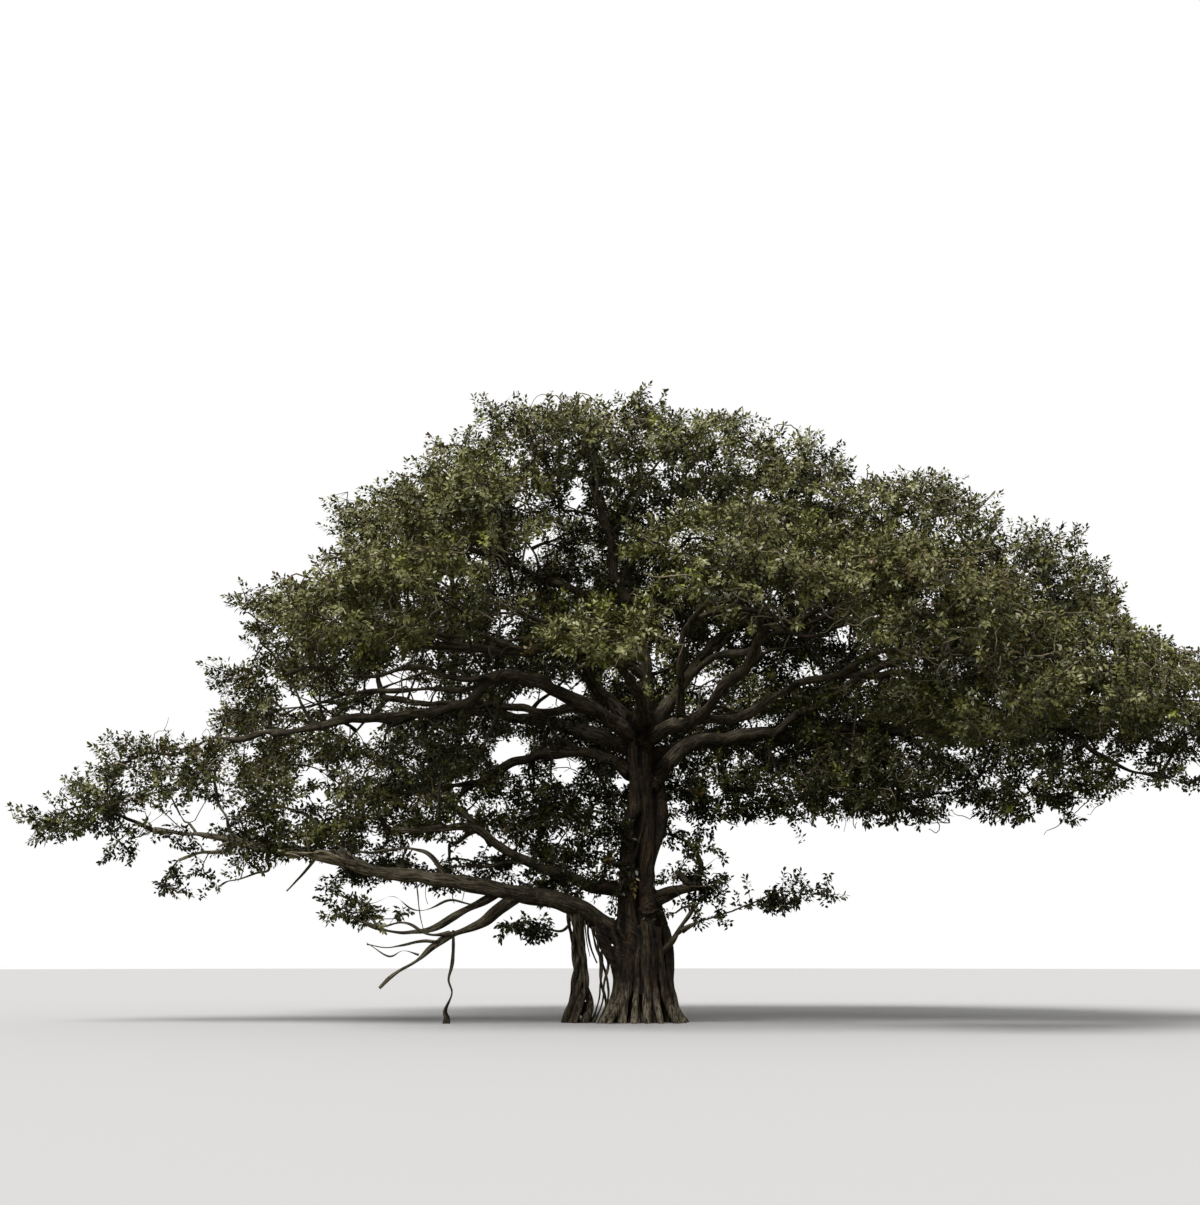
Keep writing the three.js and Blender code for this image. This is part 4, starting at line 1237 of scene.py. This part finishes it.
offshoots = []
for name, (line, radius) in wholeLines.items():
    if any(word in name for word in ("stub", "foot", "droop", "drop")):
        continue
    length = len(line) * limbLook["ring"]
    at = length * offshootLook["first"] + dice.uniform(0, offshootLook["every"])
    hand = dice.choice((-1, 1))
    while at < length - offshootLook["last"]:
        i = int(at / limbLook["ring"])
        along = unit(line[i + 2] - line[i - 2])
        turn = hand * math.radians(dice.uniform(*offshootLook["turn"]))
        rise = dice.uniform(*offshootLook["rise"]) + (offshootLook["lowRise"] if "low_left" in name else 0)
        heading = np.array([
            along[0] * math.cos(turn) - along[1] * math.sin(turn),
            along[0] * math.sin(turn) + along[1] * math.cos(turn),
            along[2] * offshootLook["level"] + rise,
        ])
        path = [line[i]]
        for step in range(int(dice.uniform(*offshootLook["length"]) / offshootLook["step"])):
            heading = unit(unit(heading) + dice.normal(0, offshootLook["stray"], 3))
            path.append(path[-1] + heading * offshootLook["step"])
            inCut = inSkyGap(path[-1][None], offshootLook["gapMargin"], outlineCuts)[0]
            if inCut or outOfCrown(path[-1]):
                break
        if len(path) > offshootLook["shortest"]:
            foot = min(radius[i] * offshootLook["thick"], offshootLook["widest"])
            spec = dict(path=path[:-1], radii=(foot, offshootLook["tip"]))
            offshoots.append(limbLine(spec, 500 + len(offshoots)))
            limbLines["offshoot_%d" % len(offshoots)] = offshoots[-1]
        hand = -hand
        at += offshootLook["every"] * dice.uniform(*offshootLook["apart"])
mesh = tubes("side_boughs", offshoots, offshootLook["sides"])
barkRelief(mesh, offshoots, offshootLook["relief"], 90)
newPiece("side_boughs", mesh, [barkOf["bough bark"]])

# clumps: candidates all over the masses, thinned out to an even spacing


def placesIn(name, mass, count):
    # places for clumps just under the skin of a mass, how each faces and whether it is deep inside
    scale = mass["scale"]
    pick = dice.choice(len(mass["area"]), count, p=mass["area"] / mass["area"].sum())
    u, v = dice.random((2, count))
    flip = u + v > 1
    u[flip], v[flip] = 1 - u[flip], 1 - v[flip]
    a, b, c = (mass["co"][mass["corners"][pick, i]] for i in range(3))
    skin = a + (b - a) * u[:, None] + (c - a) * v[:, None]
    outward = unit(skin - mass["centre"])
    size = np.linalg.norm(skin - mass["centre"], axis=1)
    shallow, deep, most = crownLook["depths"]
    place = skin - outward * np.minimum(dice.uniform(shallow, deep, count) * scale, size * most)[:, None]
    keep = ~inSkyGap(place, crownLook["gapMargin"][0])
    down, underShare = crownLook["under"]
    keep &= (mass["facing"][pick][:, 2] > down) | (dice.random(count) < underShare)
    place, outward = place[keep], outward[keep]
    depth = crownDepth(place) / scale
    inner = (depth > crownLook["innerDepth"]) & (dice.random(len(place)) < crownLook["innerShare"])
    middle, thick = crownLook["shell"]
    layered = place * crownLook["layers"]
    shell = abs(depth - middle - uneven(layered, crownLook["uneven"], 7)) < thick
    left = np.prod([fade(place[:, axis], start, width) for axis, start, width in crownLook["left"]], axis=0)
    openShare = crownLook["openShare"] - crownLook["leftOpen"] * left
    shell &= noise(layered, crownLook["openWidth"], 19) > -openShare
    further, shallow, sharedShare = crownLook["shared"]
    shell &= (crownDepth(place + outward * further) < shallow) | (dice.random(len(place)) < sharedShare)
    ragged, raggedLength, broken = crownLook["ragged"]
    if scale < ragged:
        shell &= noise(place, raggedLength, 23) > broken
    return [(place[i], outward[i], name, bool(inner[i])) for i in np.flatnonzero(shell | inner)]


wholeArea = sum((m["area"] / m["scale"] ** 2).sum() for m in masses.values())
candidates = []
for name, mass in masses.items():
    count = int(crownLook["candidates"] * mass["area"].sum() / mass["scale"] ** 2 / wholeArea)
    candidates += placesIn(name, mass, count)
for middle, half, tries, *outline in veils:
    place = np.array(middle) + dice.uniform(-1, 1, (tries, 3)) * np.array(half)
    for point in place[~inSkyGap(place, crownLook["gapMargin"][1])]:
        nearest = min(masses, key=lambda n: np.linalg.norm(masses[n]["centre"] - point))
        candidates.append((point, unit(point - np.array(crownLook["heart"])), nearest, not outline))

taken = {}
looseFacing = unit(np.array([0, -0.3, -0.3]))
clumps = [(np.array(p), looseFacing, name, False) for name, places in looseClumps for p in places]
cellSize = crownLook["spacing"]
for i in dice.permutation(len(candidates)):
    place, outward, name, inner = candidates[i]
    spacing = cellSize * max(masses[name]["scale"], crownLook["closest"])
    cell = tuple(np.floor(place / cellSize).astype(int))
    near = itertools.chain.from_iterable(
        taken.get((cell[0] + dx, cell[1] + dy, cell[2] + dz), [])
        for dx, dy, dz in itertools.product((-1, 0, 1), repeat=3)
    )
    if any(((place - other) ** 2).sum() < spacing**2 for other in near):
        continue
    taken.setdefault(cell, []).append(place)
    clumps.append(candidates[i])
clumpPlace, clumpOut, clumpMass, clumpInner = (np.array(part) for part in zip(*clumps))
clumpScale = np.array([masses[name]["scale"] for name in clumpMass])
print("clumps", len(clumps), "of them inside", int(clumpInner.sum()))

# branches grow from the limbs towards the clumps

growth = dict(
    step=0.26, reached=0.34, rise=0.08, keepOn=0.45, stray=0.24, rounds=90, chunk=400,
    budEvery=0.8, budFrom=0.3,  # metres between buds, and the share of a limb without any
    budLater=dict(stub=0.7, foot=0.7, droop=0.55, offshoot=0.35),  # for limbs with this in their name
    tipPull=3.0, budPull=0.1,  # how much the limb's own direction counts
    tip=0.0125, power=2.0, evened=3, bends=((0.10, 0.9), (0.03, 0.35)),
    collars=(1.15, 1.4), tipFade=1.3,  # at a fork and at a limb, and metres over which a limb's tip thins
    thinnest=0.008, thinFrom=0.03, sides=(7, 4),  # of thick and of thin branches
)


def limbBuds():
    # where branches start on the limbs, which way, and the limb's own radius where it is its tip
    places, heading, limbTip = [], [], []
    for name, (line, radius) in limbLines.items():
        if "hanging" in name and name != "hanging_%d" % (len(hanging) - 1):
            continue
        start = next((s for word, s in growth["budLater"].items() if word in name), growth["budFrom"])
        every = max(1, int(growth["budEvery"] / limbLook["ring"]))
        for bud in range(len(line) - 1, int(start * len(line)), -every):
            isTip = bud == len(line) - 1
            places.append(line[bud])
            pull = growth["tipPull"] if isTip else growth["budPull"]
            heading.append(unit(line[bud] - line[max(bud - 3, 0)]) * pull)
            limbTip.append(radius[-1] if isTip else 0)
    return np.array(places), np.array(heading), limbTip


def growBranches(targets):
    places, heading, limbTip = limbBuds()
    parents = [-1] * len(places)
    away = np.full(len(targets), 1e9)
    nearest = np.zeros(len(targets), int)
    fresh = np.arange(len(places))
    waiting = np.ones(len(targets), bool)
    for turn in range(growth["rounds"]):
        live = np.flatnonzero(waiting)
        if len(live) == 0 or len(fresh) == 0:
            break
        for part in np.array_split(fresh, max(1, len(fresh) // growth["chunk"])):
            gap = np.linalg.norm(targets[live][:, None] - places[part][None], axis=2)
            best = gap.argmin(axis=1)
            least = gap[np.arange(len(live)), best]
            closer = least < away[live]
            away[live[closer]] = least[closer]
            nearest[live[closer]] = part[best[closer]]
        waiting &= away > growth["reached"]
        live = np.flatnonzero(waiting)
        if len(live) == 0:
            break
        pull = np.zeros((len(places), 3))
        np.add.at(pull, nearest[live], unit(targets[live] - places[nearest[live]]))
        growers = np.unique(nearest[live])
        course = unit(pull[growers]) + growth["keepOn"] * heading[growers]
        stray = dice.normal(0, growth["stray"], (len(growers), 3))
        course = course + np.array([0, 0, growth["rise"]]) + stray
        course = unit(course)
        made = places[growers] + course * growth["step"]
        fresh = len(places) + np.flatnonzero(~inSkyGap(made, 0.0, outlineCuts))
        places = np.vstack([places, made])
        heading = np.vstack([heading, course])
        parents.extend(growers.tolist())
        limbTip.extend([0] * len(growers))
    return places, np.array(parents), np.array(limbTip), waiting


nodePlace, nodeParent, nodeTip, lost = growBranches(clumpPlace)
print("growth", len(nodePlace), "not reached", int(lost.sum()))

# shoots that lead to no clump are pruned, and the wood thickens towards the limbs
nodeTree = nearestOf(nodePlace)
needed = np.zeros(len(nodePlace), bool)
for p in clumpPlace:
    needed[nodeTree.find(p)[1]] = True
load = np.zeros(len(nodePlace))
for i in range(len(nodePlace) - 1, -1, -1):  # each node comes after its parent
    if needed[i]:
        load[i] = max(load[i], 1.0)
        if nodeParent[i] >= 0:
            needed[nodeParent[i]] = True
            load[nodeParent[i]] += load[i]
nodeRadius = growth["tip"] * load ** (1 / growth["power"])
children = {}
for i in np.flatnonzero(needed):
    children.setdefault(int(nodeParent[i]), []).append(int(i))

for turn in range(growth["evened"]):  # kinks are evened out
    shifted = nodePlace.copy()
    for parent, kids in children.items():
        if parent < 0 or nodeParent[parent] < 0:
            continue
        main = max(kids, key=lambda k: load[k])
        shifted[parent] = (nodePlace[parent] * 2 + nodePlace[nodeParent[parent]] + nodePlace[main]) / 4
    nodePlace = shifted
wide, fine = growth["bends"]
sway = wander(nodePlace, wide, 31) + wander(nodePlace, fine, 37)
nodePlace = nodePlace + sway * (nodeParent >= 0)[:, None]

chains = []
starts = [(-1, i) for i in children.get(-1, [])]
while starts:
    before, i = starts.pop()
    run = [before, i] if before >= 0 else [i]
    while i in children:
        kids = sorted(children[i], key=lambda k: -load[k])
        starts.extend((i, k) for k in kids[1:])
        i = kids[0]
        run.append(i)
    if len(run) > 1:
        chains.append(run)
print("branches", len(chains))


def meshFrom(name, co, corners, sizes):
    # corners is every face's vertices in a row, sizes how many each face has
    mesh = bpy.data.meshes.new(name)
    mesh.vertices.add(len(co))
    mesh.vertices.foreach_set("co", co.astype(np.float32).ravel())
    mesh.loops.add(len(corners))
    mesh.loops.foreach_set("vertex_index", corners.astype(np.int32))
    mesh.polygons.add(len(sizes))
    begin = np.concatenate([[0], np.cumsum(sizes)[:-1]])
    mesh.polygons.foreach_set("loop_start", begin.astype(np.int32))
    mesh.update(calc_edges=True)
    return mesh


twigShift = 0.37  # between the bark patterns of two twigs


def woodMesh(name, lines, sides):
    # tapering wood along many short lines, each closed at its foot and with a point at its tip
    places, corners, sizes, grain = [], [], [], []
    first = 0
    turn = np.linspace(0, 2 * math.pi, sides, endpoint=False)
    k = np.arange(sides)
    nextK = (k + 1) % sides
    for number, (line, radius) in enumerate(lines):
        along, side, other = frameAlong(line)
        ring = side[:, None] * np.cos(turn)[None, :, None] + other[:, None] * np.sin(turn)[None, :, None]
        places.append((line[:, None] + ring * radius[:, None, None]).reshape(-1, 3))
        places.append((line[-1] + along[-1] * radius[-1])[None])
        i = np.arange(len(line) - 1)[:, None] * sides
        quads = np.stack([i + k, i + nextK, i + sides + nextK, i + sides + k], axis=-1).reshape(-1, 4)
        last = (len(line) - 1) * sides
        ends = np.stack([last + k, last + nextK, np.full(sides, last + sides)], axis=-1)
        corners += [quads.ravel() + first, ends.ravel() + first, k[::-1] + first]
        sizes += [np.full(len(quads), 4), np.full(len(ends), 3), [sides]]
        first += len(line) * sides + 1
        run = runAlong(line)
        u = np.cos(turn)[None] * radius[:, None] + number * twigShift
        w = np.sin(turn)[None] * radius[:, None]
        s = np.repeat(run[:, None], sides, axis=1)
        grain.append(np.stack([u, w, s], axis=-1).reshape(-1, 3))
        grain.append([[number * twigShift, 0, run[-1]]])
    mesh = meshFrom(name, np.vstack(places), np.concatenate(corners), np.concatenate(sizes))
    setAttribute(mesh, "grain", np.vstack(grain))
    setAttribute(mesh, "hollow", np.zeros(first))
    mesh.polygons.foreach_set("use_smooth", np.ones(len(mesh.polygons), bool))
    return mesh


branchLines = []
for run in chains:
    radius = nodeRadius[run].copy()
    atFork, atLimb = growth["collars"]
    if nodeParent[run[0]] >= 0:
        radius[0] = radius[1] * atFork
    elif nodeTip[run[0]] > 0:
        away = np.arange(len(run)) * growth["step"]
        radius = np.maximum(radius, nodeTip[run[0]] * np.exp(-away / growth["tipFade"]))
    else:
        radius[0] = radius[1] * atLimb
    branchLines.append((nodePlace[run], np.maximum(radius, growth["thinnest"])))
thick = [b for b in branchLines if b[1].max() > growth["thinFrom"]]
thin = [b for b in branchLines if b[1].max() <= growth["thinFrom"]]
for name, lines, sides, bark in (
    ("branches", thick, growth["sides"][0], "bough bark"),
    ("small_branches", thin, growth["sides"][1], "twig bark"),
):
    newPiece(name, woodMesh(name, lines, sides), [barkOf[bark]])

# pale winding twigs that show on the outside of the leaves

windingLook = dict(
    share=0.85, farthest=1.0, highest=0.55, smallest=0.9,  # which clumps have one
    steps=8, step=0.12, start=0.42, lean=0.5, tangent=1.2, bend=0.45, hold=0.3, kink=0.05,
    outside=0.2, radius=(0.020, 0.008), thickness=(0.7, 1.2), sides=3,
)
woodTree = nearestOf(nodePlace[needed])
windingLines = []
for i in np.flatnonzero(~clumpInner & (dice.random(len(clumps)) < windingLook["share"])):
    foot, index, away = woodTree.find(clumpPlace[i])
    outward = clumpOut[i]
    if away > windingLook["farthest"] or outward[2] > windingLook["highest"]:
        continue
    if clumpScale[i] < windingLook["smallest"]:
        continue
    heading = unit(outward * windingLook["lean"] + unit(dice.normal(0, 1, 3)) * windingLook["tangent"])
    point = clumpPlace[i] + outward * windingLook["start"]
    line = [np.array(foot), (np.array(foot) + point) / 2 + dice.normal(0, windingLook["kink"], 3), point]
    for step in range(windingLook["steps"]):
        heading = heading + dice.normal(0, windingLook["bend"], 3)
        heading = unit(heading - outward * windingLook["hold"] * max(heading @ outward, 0) * step)
        line.append(line[-1] + heading * windingLook["step"])
    line = np.array(line)
    if inSkyGap(line, 0.0, outlineCuts).any() or crownDepth(line).min() < -windingLook["outside"]:
        continue
    radius = np.linspace(*windingLook["radius"], len(line)) * dice.uniform(*windingLook["thickness"])
    windingLines.append((line, radius))
mesh = woodMesh("winding_twigs", windingLines, windingLook["sides"])
newPiece("winding_twigs", mesh, [barkOf["pale twig bark"]])

# sprays: each a twig tied to the nearest branch, with leaves all round it

sprayLook = dict(
    each=(4.9, 4.9),  # for each inner and each outer clump, on average, and one more
    clumpSize=(0.62, 0.62, 0.30), smaller=0.6, outward=0.08,
    margin=0.1,
    farthest=1.25,
    course=(0.7, 0.5, 0.3, 0.28),  # away from the branch, outwards, upwards and astray
    twig=(0.012, 0.05),  # radius, and how far it goes on past the spray's middle
)
innerMean, outerMean = sprayLook["each"]
innerCount = dice.poisson(innerMean, len(clumps))
sprayCount = np.where(clumpInner, innerCount, dice.poisson(outerMean, len(clumps))) + 1
owner = np.repeat(np.arange(len(clumps)), sprayCount)
ball = unit(dice.normal(0, 1, (len(owner), 3))) * dice.random((len(owner), 1)) ** (1 / 3)
spread = np.array(sprayLook["clumpSize"]) * clumpScale[owner][:, None] ** sprayLook["smaller"]
sprayPlace = clumpPlace[owner] + ball * spread + clumpOut[owner] * sprayLook["outward"]
keep = ~inSkyGap(sprayPlace, sprayLook["margin"]) & thinnedOut(sprayPlace)
keep &= sprayPlace[:, 0] > crownLook["leftEnd"]
owner, sprayPlace = owner[keep], sprayPlace[keep]
found = [woodTree.find(p) for p in sprayPlace]
base = np.array([place[:] for place, index, away in found])
keep = np.array([away for place, index, away in found]) < sprayLook["farthest"]
owner, sprayPlace, base = owner[keep], sprayPlace[keep], base[keep]
inside = clumpInner[owner]
off, outwards, upwards, astray = sprayLook["course"]
course = unit(sprayPlace - base) * off + clumpOut[owner] * outwards + np.array([0, 0, upwards])
course = unit(course + dice.normal(0, astray, (len(owner), 3)))
side = unit(np.cross(course, anySide))
other = np.cross(course, side)


def roundCourse(chosen, turn):
    # directions across the course of each chosen spray
    across = side[chosen][:, None] * np.cos(turn)[..., None]
    return across + other[chosen][:, None] * np.sin(turn)[..., None]


turn = np.arange(3) * 2 * math.pi / 3
ring = roundCourse(np.arange(len(owner)), turn[None].repeat(len(owner), 0))
thick, onwards = sprayLook["twig"]
tips = sprayPlace + course * onwards
co = np.concatenate([base[:, None] + ring * thick, tips[:, None]], axis=1).reshape(-1, 3)
corners = (np.arange(len(owner))[:, None] * 4 + np.array([0, 1, 3, 1, 2, 3, 2, 0, 3, 2, 1, 0])).ravel()
mesh = meshFrom("twigs", co, corners, np.full(len(owner) * 4, 3))
setAttribute(mesh, "grain", co)
setAttribute(mesh, "hollow", np.zeros(len(co)))
newPiece("twigs", mesh, [barkOf["twig bark"]])

leafLook = dict(
    leaves=(5, 15, 17),  # at the tip of an outer spray, lower on it, and on an inner spray
    sprayLength=0.42,
    length=(0.105, 0.155), shorter=(1.1, 0.28),  # and how much shorter towards the tip of a spray
    breadth=0.53, breadthRange=(0.85, 1.15),
    turn=2.39996,  # from one leaf to the next
    lean=(84, 58, 0.2),  # degrees away from the spray at its foot, how many less at its tip, and unevenness
    stalk=0.03,
    facing=(0.8, 0.55, 0.42),  # upwards, outwards and astray
    fold=0.22,
    droop=0.28,
    full=[(0, 0), (0.3, 0.95), (0.68, 0.8), (1, 0), (0.68, -0.8), (0.3, -0.95)],  # along and out
    kite=[(0, 0), (0.42, 1.0), (1, 0), (0.42, -1.0)],  # the simpler outline of leaves that show less
    roughness=0.36,
)


def leavesOn(chosen, order, number, outline):
    # leaves of each chosen spray, numbered from its foot, as places of their outline
    shape = (len(chosen), len(order))
    height = order / (number - 1)
    spin = order * leafLook["turn"] + dice.uniform(0, 6.28, (len(chosen), 1))
    most, less, stray = leafLook["lean"]
    lean = np.radians(most - less * height)[None] + dice.normal(0, stray, shape)
    aim = course[chosen][:, None] * np.cos(lean)[..., None]
    aim = aim + roundCourse(chosen, spin) * np.sin(lean)[..., None]
    aim = aim - np.array([0, 0, 1]) * dice.uniform(0, 2 * leafLook["droop"], (*shape, 1))
    aim = unit(aim)
    back = leafLook["sprayLength"] * (1 - height)
    start = sprayPlace[chosen][:, None] - course[chosen][:, None] * back[None, :, None]
    start = start + aim * leafLook["stalk"]
    upwards, outwards, astray = leafLook["facing"]
    upward = np.array([0, 0, upwards]) + clumpOut[owner[chosen]][:, None] * outwards
    upward = upward + dice.normal(0, astray, (*shape, 3))
    breadthWay = unit(np.cross(aim, upward))
    upward = np.cross(breadthWay, aim)
    longest, shorter = leafLook["shorter"]
    long = dice.uniform(*leafLook["length"], shape) * (longest - shorter * height)[None]
    wide = long * leafLook["breadth"] * dice.uniform(*leafLook["breadthRange"], shape) / 2
    points = []
    for along, out in outline:
        place = start + aim * (long * along)[..., None] + breadthWay * (wide * out)[..., None]
        points.append(place + upward * (wide * abs(out) * leafLook["fold"])[..., None])
    return np.stack(points, axis=2)


outer = np.flatnonzero(~inside)
inner = np.flatnonzero(inside)
fullCount, lowCount, innerCount = leafLook["leaves"]
order = np.arange(fullCount + lowCount)
fullLeaves = leavesOn(outer, order[lowCount:], len(order), leafLook["full"])
lowLeaves = leavesOn(outer, order[:lowCount], len(order), leafLook["kite"])
innerLeaves = leavesOn(inner, np.arange(innerCount), innerCount, leafLook["kite"])

# tints dealt out by spray: light on top and outside, darker low and deep, which is painted light and shade
# along with the darker green that shade leaves have; young and dry shoots in drifts

# the first six are lighter and darker steps of one leaf green, dealt out as painted light and shade
tints = {
    "deep": (0.012, 0.014, 0.002),
    "dark": (0.031, 0.035, 0.006),
    "middle": (0.061, 0.066, 0.014),
    "olive": (0.098, 0.100, 0.025),
    "light": (0.152, 0.158, 0.050),
    "bright": (0.232, 0.238, 0.102),
    "young": (0.225, 0.255, 0.045),
    "dry": (0.130, 0.096, 0.034),
}
# how far painted light and shade move a spray's tint: open sky, front, low, near the trunk, left tip, right,
# inside and low left
tintLook = dict(
    middle=1.85, stray=0.9, openSky=2.0,
    patches=(0.9, 2.4), finePatches=(0.8, 0.8),  # strength and size
    front=1.0, low=0.4, nearTrunk=0.9, leftTip=1.6, right=0.8, inside=0.9, lowLeft=0.6,
    cell=0.7, cover=3.0, dimming=0.9,  # leaves over a spray, counted up to this far above it
)
drifts = {  # the share of sprays all over the crown and more in these places: x, z, half width, half height
    "young": (0.010, 0.16, [
        (-1.0, 9.3, 1.6, 1.3), (-6.6, 10.3, 1.3, 0.5), (-0.9, 3.2, 0.5, 0.6), (3.0, 12.0, 1.5, 0.5),
    ]),
    "dry": (0.010, 0.22, [(-10.2, 6.9, 1.4, 0.8), (6.5, 9.6, 1.0, 0.7)]),
}
leafMaterials = [newMaterial(name + " leaf", tint, leafLook["roughness"]) for name, tint in tints.items()]


def openSky(points):
    # 1 for a spray at the top of the crown, towards 0 for one with leaves over it
    cell = np.floor(points[:, :2] / tintLook["cell"]).astype(int).tolist()
    tops = {}
    for (x, y), z in zip(cell, points[:, 2].tolist()):
        tops[x, y] = max(z, tops.get((x, y), z))
    over = np.zeros(len(points))
    for dx, dy in itertools.product((-1, 0, 1), repeat=2):
        above = np.array([tops.get((x + dx, y + dy), -1) for x, y in cell])
        over += np.clip(above - points[:, 2], 0, tintLook["cover"]) / 9
    return np.exp(-over / tintLook["dimming"])


x, y, z = sprayPlace.T
# painted light and shade in the tone: lighter under open sky, in front and low on the left; darker low down,
# near the trunk, at the left tip, on the right and deep inside
tone = tintLook["middle"] + tintLook["openSky"] * openSky(sprayPlace)
tone = tone + uneven(sprayPlace, tintLook["patches"], 71)
tone = tone + uneven(sprayPlace, tintLook["finePatches"], 72) + dice.normal(0, tintLook["stray"], len(owner))
tone = tone + tintLook["front"] * fade(y, 0, -4) - tintLook["low"] * (z < 3.6)
tone = tone - tintLook["nearTrunk"] * (fade(abs(x), 5.5, -2) * fade(z, 6.8, -1.5))
tone = tone - tintLook["leftTip"] * fade(x, -8, -3)
tone = tone - tintLook["right"] * fade(x, 3, 3) - tintLook["inside"] * inside
tone = tone + tintLook["lowLeft"] * (fade(x, -2, -3) * fade(z, 8.2, -2))
tint = np.clip(np.round(tone), 0, 5).astype(int)
for name, (everywhere, more, places) in drifts.items():
    near = np.zeros(len(owner))
    for place in places:
        near = np.maximum(near, np.exp(-oval(sprayPlace, *place)))
    tint[dice.random(len(owner)) < everywhere + more * near] = list(tints).index(name)
print("tints", dict(zip(tints, np.bincount(tint, minlength=len(tints)).tolist())))

regionOf = {mass: region for region, group in crownRegions.items() for mass in group}
sprayRegion = np.array([regionOf[m] for m in clumpMass[owner]])
for region, group in crownRegions.items():
    here = sprayRegion[outer] == region
    within = sprayRegion[inner] == region
    full = fullLeaves[here].reshape(-1, 6, 3)
    kites = np.vstack([lowLeaves[here].reshape(-1, 4, 3), innerLeaves[within].reshape(-1, 4, 3)])
    co = np.vstack([full.reshape(-1, 3), kites.reshape(-1, 3)])
    fullCorners = np.arange(len(full))[:, None] * 6 + np.array([0, 1, 2, 3, 0, 3, 4, 5])
    kiteCorners = len(full) * 6 + np.arange(len(kites))[:, None] * 4 + np.array([0, 1, 2, 0, 2, 3])
    faceSizes = np.concatenate([np.full(len(full) * 2, 4), np.full(len(kites) * 2, 3)])
    mesh = meshFrom(region, co, np.concatenate([fullCorners.ravel(), kiteCorners.ravel()]), faceSizes)
    paint = np.concatenate([
        np.repeat(tint[outer[here]], fullCount * 2),
        np.repeat(tint[outer[here]], lowCount * 2),
        np.repeat(tint[inner[within]], innerCount * 2),
    ])
    mesh.polygons.foreach_set("material_index", paint.astype(np.int32))
    newPiece(region, mesh, leafMaterials, group)

low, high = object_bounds()
print("size", [round(v, 2) for v in (*low, *high)])
